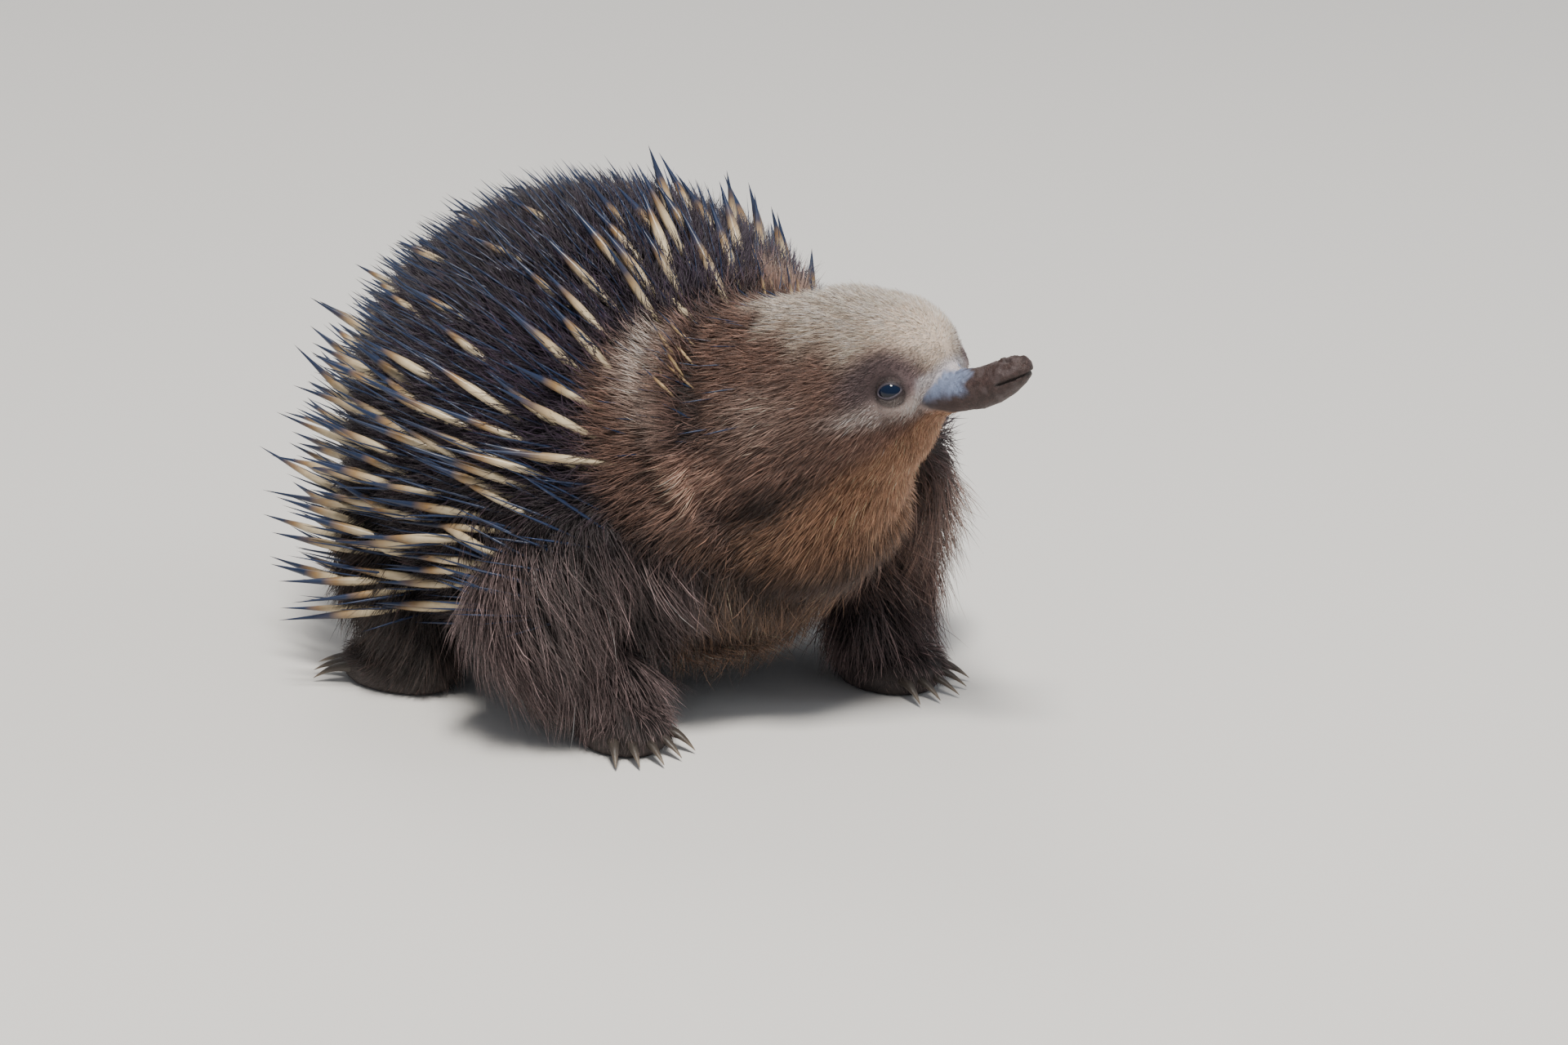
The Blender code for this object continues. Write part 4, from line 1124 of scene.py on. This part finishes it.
def make_spines(skin, material, seeded):
    """Cream spines, thin dark bristles between them, and short tan quills at the ears."""
    places, normals = samples(skin.data, SPINE_PLACES, seeded, lambda spots: np.ones(len(spots["along"])))
    spots = survey(places)
    x, y, z = places.T
    along, angle = spots["along"], spots["angle"]
    back, flank = has_spines(spots, normals), z < 110
    length, rise = spine_shape(spots)
    collar = collar_share(spots)
    radius = between(*SPINE_RADIUS, collar)
    bare_top = ease(108, 142, z) * (1 - 0.9 * ease(-48, -28, along))
    spacing = between(*SPINE_SPACING, bare_top) - 1.2 * collar
    add_spines("spines", material, spots, normals, back, spacing, length, rise, radius, seeded)
    crown = (spots["side"] < -8) & (along > 14) & (along < 60) & (angle > 44) & (angle < 64)
    nape = ((along > -26) & (along < 18) & (angle > 5) & (spots["slit"] > 4)) | crown
    shoulder = (np.abs(x) > 52) & (y < -30) & (z > 52) & (z < 102) & (along < -28) & ~back
    bristles = back | nape | shoulder
    length = np.where(back, 24 + 7 * flank, np.where(nape, 14, 30))
    rise = np.where(back, 33 - 9 * flank, np.where(nape, 32, 20))
    radius = np.where(nape, 0.38, 0.6)
    spacing = np.where(back, 6.2 - 1.4 * ease(100, 130, z), np.where(nape, 7.5, 6.0))
    add_spines("bristles", material, spots, normals, bristles, spacing, length, rise, radius, seeded)
    ear = (along > -13) & (along < 2) & (angle > 26) & (angle < 60) & (spots["slit"] > 2.5)
    spacing, length, rise, radius = (np.full(len(places), value) for value in (6.0, 18, 27, 0.65))
    add_spines("quills", material, spots, normals, ear, spacing, length, rise, radius, seeded)


def add_spines(name, material, spots, normals, allowed, spacing, length, rise, radius, seeded):
    """One mesh of spines at those of the allowed places that the spacing keeps."""
    numbers = np.flatnonzero(allowed)
    numbers = numbers[spread(spots["places"][numbers], spacing[numbers])]
    style = SPINE_STYLES[name]
    spots, normals = chosen_of(spots, numbers), normals[numbers]
    count = len(numbers)
    places = spots["places"]
    length = length[numbers] * seeded.uniform(0.8, 1.12, count)
    radius = radius[numbers] * seeded.uniform(0.75, 1.1, count)
    angle = np.radians(rise[numbers] + seeded.normal(0, 4.5, count))
    plain = {region: spots[region] * 0 for region in ("front", "hind", "chest", "belly")}
    behind = np.array((0, 1, 0)) + (places - np.array(NECK_CENTRE)) * 0.0035
    behind[:, 2] = np.interp(places[:, 2], *SPINE_LIFT)
    behind = unit(behind - normals * (behind * normals).sum(axis=1, keepdims=True) * SPINE_FOLLOWS)
    lies = mix(behind, lie_of({**spots, **plain}, normals), spots["barrel"])
    if name == "quills":
        lies = along_surface(np.array(UP) * 0.9 - np.array(FORWARD), normals)
    lies = unit(lies + np.cross(lies, normals) * seeded.normal(0, 0.12, count)[:, None])
    out = lies * np.cos(angle)[:, None] + normals * np.sin(angle)[:, None]
    out[:, 2] = np.maximum(out[:, 2], -0.12)
    out = unit(out)
    side = unit(np.cross(out, normals))
    sides, shares = style["sides"], np.array(style["shares"])
    spokes = spokes_of(side, np.cross(side, out), np.arange(sides) * 2 * math.pi / sides)
    bow = normals * 0.04 * length[:, None]
    rings = [
        (places + out * (length * share)[:, None] - bow * share ** 2)[:, None, :]
        + spokes * (radius * part)[:, None, None]
        for share, part in zip(shares, np.interp(shares, *SPINE_TAPER))
    ]
    points = np.concatenate(rings + [(places + out * length[:, None] - bow)[:, None, :]], axis=1)
    shades = spine_colours(shares, sides, count, style["tone"], seeded)
    tuft_mesh(name, material, points, shades, unwrap(spots), shares, sides)


def spine_colours(shares, sides, count, tone, seeded):
    """Cream or tan along the shaft, tan at its shoulder and blue-black at the point, or dark all over; the
    blue is partly a painted sky reflection.
    """
    start = seeded.uniform(0.44, 0.60, count)
    cream = np.array(SPINE_CREAM if tone == "cream" else QUILL_CREAM)
    shades = []
    for share in (*shares, 1.0):
        to_tan = ease(-0.16, 0.0, share - start)[:, None]
        to_dark = ease(0.0, 0.12, share - start)[:, None]
        shade = cream * (1 - to_tan) + np.array(SPINE_TAN) * 0.6 * to_tan
        shade = shade * (1 - 0.45 * float(fade(0.0, 0.2, share)))
        # Blue-black points, their blue partly a painted sky reflection
        shade = shade * (1 - to_dark) + np.array(SPINE_BLUE_BLACK_AND_PAINTED_REFLECTION) * to_dark
        # Bristles: the same blue-black with its painted sky reflection
        if tone == "dark":
            shade = np.tile(np.array(SPINE_BLUE_BLACK_AND_PAINTED_REFLECTION) * 1.2, (count, 1))
        shades.append(shade)
    rings = [np.repeat(shade[:, None, :], sides, axis=1) for shade in shades[:-1]]
    shades = np.concatenate(rings + [shades[-1][:, None, :]], axis=1)
    return shades * seeded.uniform(0.75, 1.15, (count, 1, 1))


# Materials

def new_material(name):
    material = bpy.data.materials.new(name)
    material.use_nodes = True
    nodes, links = material.node_tree.nodes, material.node_tree.links
    return material, nodes, links, nodes["Principled BSDF"]


def set_inputs(node, values):
    for name, value in values.items():
        node.inputs[name].default_value = value


def add_node(nodes, kind, values=()):
    node = nodes.new("ShaderNode" + kind)
    set_inputs(node, dict(values))
    return node


def painted_material(name, roughness, bump=0.0, scale=900.0, sheen=0.0):
    """A material that takes its colour from the mesh's own markings, with a fine grain over them."""
    material, nodes, links, shader = new_material(name)
    set_inputs(shader, {"Roughness": roughness, "Specular IOR Level": 0.35})
    set_inputs(shader, {"Sheen Weight": sheen, "Sheen Roughness": 0.5})
    paint = add_node(nodes, "Attribute")
    paint.attribute_name = "coat"
    coordinates = add_node(nodes, "TexCoord")
    grain = add_node(nodes, "TexNoise", {"Scale": scale, "Detail": 3})
    links.new(coordinates.outputs["Object"], grain.inputs["Vector"])
    shade = add_node(nodes, "MapRange", {"To Min": 0.78, "To Max": 1.22})
    links.new(grain.outputs["Fac"], shade.inputs["Value"])
    tinted = add_node(nodes, "VectorMath")
    tinted.operation = "SCALE"
    links.new(paint.outputs["Color"], tinted.inputs[0])
    links.new(shade.outputs["Result"], tinted.inputs["Scale"])
    links.new(tinted.outputs["Vector"], shader.inputs["Base Color"])
    if bump:
        relief = add_node(nodes, "Bump", {"Strength": bump, "Distance": 0.0004})
        links.new(grain.outputs["Fac"], relief.inputs["Height"])
        links.new(relief.outputs["Normal"], shader.inputs["Normal"])
    return material


def eye_material():
    """Wet near-black, with a painted blue reflection of the sky towards the top, and faint veins."""
    material, nodes, links, shader = new_material("eye_cornea")
    set_inputs(shader, {"Roughness": 0.08, "Specular IOR Level": 0.35})
    coordinates = add_node(nodes, "TexCoord")
    veins = add_node(nodes, "TexNoise", {"Scale": 600})
    links.new(coordinates.outputs["Object"], veins.inputs["Vector"])
    height = add_node(nodes, "SeparateXYZ")
    links.new(coordinates.outputs["Object"], height.inputs["Vector"])
    # Painted sky reflection: the eye turns blue towards its top
    middle = world(on_head(EYE_PLACE[0], 0, EYE_PLACE[2])).z
    upper = add_node(nodes, "MapRange", {"From Min": middle - 0.0012, "From Max": middle + 0.0022})
    links.new(height.outputs["Z"], upper.inputs["Value"])
    blurred = add_node(nodes, "Math")
    blurred.operation = "MULTIPLY_ADD"
    blurred.inputs[1].default_value = 0.5
    links.new(veins.outputs["Fac"], blurred.inputs[0])
    links.new(upper.outputs["Result"], blurred.inputs[2])
    ramp = add_node(nodes, "ValToRGB")
    low, high = ramp.color_ramp.elements
    low.position = 0.3
    low.color = CORNEA_LOW
    high.color = CORNEA_PAINTED_SKY_REFLECTION
    links.new(blurred.outputs["Value"], ramp.inputs["Fac"])
    links.new(ramp.outputs["Color"], shader.inputs["Base Color"])
    return material


def paint_mesh(mesh, colours):
    attribute = mesh.color_attributes.new("coat", "FLOAT_COLOR", "POINT")
    rgba = np.concatenate([colours, np.ones((len(colours), 1))], axis=1)
    attribute.data.foreach_set("color", rgba.ravel())


def paint_skin(skin):
    """The skin wears the coat's markings, near its root colour."""
    spots = survey(mesh_places(skin.data))
    root, tip = colours_of(spots)
    fine = ease(55, 75, spots["along"])
    colours = root * 0.8 + tip * (0.1 + 0.25 * fine)[:, None]
    colours = mix(colours, beak_colours(spots), bare_beak(spots))
    for colour, share in (
        (SOLE_SKIN, fade(5, 13, spots["places"][:, 2])),
        # Painted shade in the ear's slit
        (SLIT_PAINTED_SHADE, fade(3.5, 5.5, spots["slit"])),
        (EYE_RIM, fade(5.0, 7.0, spots["eye"])),
    ):
        colours = mix(colours, filled(colour, len(colours)), share)
    paint_mesh(skin.data, colours)


def beak_colours(spots):
    """Grey on the root's upper side, brown below it and beyond, with dry earth towards the tip."""
    places, along = spots["places"], spots["along"]
    count = len(places)
    patchy = np.array([noise.noise(Vector(place) * 0.35) for place in places])
    fine = np.array([noise.fractal(Vector(place) * 0.9, 0.9, 2.0, 4) for place in places])
    over = spots["rise"] - beak_at(along)[0]
    grey = fade(86, 91, along + patchy * 4) * ease(-2.5, 2.5, over + patchy * 2)
    colours = mix(filled(BEAK_BROWN, count), filled(BEAK_GREY, count), grey)
    colours = colours * np.exp(0.55 * fine)[:, None]
    corner = np.exp(-(((along - 73) / 4) ** 2) - ((over + 3.0) / 1.6) ** 2)
    colours = mix(colours, filled(BEAK_CORNER, count), corner * 0.9)
    earth = ease(0.0, 0.5, patchy + 0.25 * ease(-3, 5, over)) * ease(88, 97, along)
    return mix(colours, filled(BEAK_EARTH, count), earth)


def paint_beak(beak):
    """The beak's own colours, with painted shade in the mouth's slit and the nostrils."""
    spots = survey(mesh_places(beak.data))
    along, side, rise = spots["along"], spots["side"], spots["rise"]
    # Painted shade in the mouth's slit
    dark = np.exp(-(((rise - mouth_rise(along)) / 0.5) ** 2))
    dark = dark * ease(MOUTH_BACK, MOUTH_BACK + 1.5, along)
    far, wide, top = NOSTRIL_PLACE
    # Painted shade in the nostrils
    for sign in (1, -1):
        reach = ((along - far) / 1.6) ** 2 + ((side - sign * wide) / 0.6) ** 2
        dark = np.maximum(dark, np.exp(-reach) * (rise > top - 4))
    paint_mesh(beak.data, mix(beak_colours(spots), filled(BEAK_HOLLOW_PAINTED_SHADE, len(along)), dark))


def paint_lids(lids):
    """A grey-violet rim in dark skin."""
    count = len(lids.data.vertices)
    rows = np.arange(count) % len(LID_PROFILE)
    rim = ((rows > 0) & (rows < 4)).astype(float)
    paint_mesh(lids.data, mix(filled(LID_DARK, count), filled(LID_GREY, count), rim))


def paint_claws(claws):
    """Dark horn at the root and paler worn points."""
    places = mesh_places(claws.data)
    low = fade(1.0, 6.0, places[:, 2])
    paint_mesh(claws.data, mix(filled(HORN_DARK, len(places)), filled(HORN_PALE, len(places)), low))


# Floor, light and camera

def make_stage():
    form = bmesh.new()
    bmesh.ops.create_grid(form, x_segments=1, y_segments=1, size=6)
    floor = placed("floor", mesh_of("floor", form))
    material, _, _, shader = new_material("floor")
    set_inputs(shader, {"Base Color": FLOOR, "Roughness": 0.9})
    floor.data.materials.append(material)


def aim(obj, back):
    """Turns a light or camera to look against the direction back."""
    obj.rotation_mode = "QUATERNION"
    obj.rotation_quaternion = (-back).to_track_quat("-Z", "Y")


def make_lights():
    sky = bpy.data.worlds.new("studio")
    sky.use_nodes = True
    set_inputs(sky.node_tree.nodes["Background"], {"Color": SKY, "Strength": SKY_POWER})
    bpy.context.scene.world = sky
    for name, (place, power, size, tint) in LIGHTS.items():
        lamp = bpy.data.lights.new(name, "AREA")
        lamp.energy = power
        lamp.size = size
        lamp.color = tint
        obj = placed(name, lamp)
        obj.location = place
        aim(obj, obj.location - Vector((0, 0, 0.08)))


def make_camera():
    turn, tilt = math.radians(VIEW_AZIMUTH), math.radians(VIEW_ELEVATION)
    back = Vector((math.sin(turn) * math.cos(tilt), -math.cos(turn) * math.cos(tilt), math.sin(tilt)))
    data = bpy.data.cameras.new("camera")
    data.lens = LENS
    camera = placed("camera", data)
    camera.location = world(LOOK_AT) + back * VIEW_DISTANCE
    aim(camera, back)
    bpy.context.scene.camera = camera


def main():
    seeded = np.random.default_rng(SEED)
    skin_look = painted_material("skin", 0.7, bump=0.5, scale=1500)
    beak_look = painted_material("beak", 0.55, bump=0.7, scale=2200)
    coat_look = painted_material("fur", 0.5, sheen=0.1)
    spine_look = painted_material("spine", 0.32, scale=500)
    horn_look = painted_material("horn", 0.4, bump=0.3, scale=1200)
    skin = make_skin(skin_look)
    paint_skin(skin)
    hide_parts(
        "torso", "neck", "head", "beak", "tail", "ear_left", "ear_right",
        *("leg_" + name for name in LEGS), *("paw_" + name for name in LEGS),
    )
    beak = make_beak(beak_look)
    paint_beak(beak)
    cornea = eye_material()
    for side, sign in (("right", 1), ("left", -1)):
        make_eye(sign, side, cornea)
        lids = make_lids(sign, side, beak_look)
        paint_lids(lids)
        make_lid_fur(sign, side, coat_look, seeded)
    claws = make_claws(horn_look)
    paint_claws(claws)
    make_coat(skin, coat_look, seeded)
    make_spines(skin, spine_look, seeded)
    make_stage()
    make_lights()
    make_camera()


main()
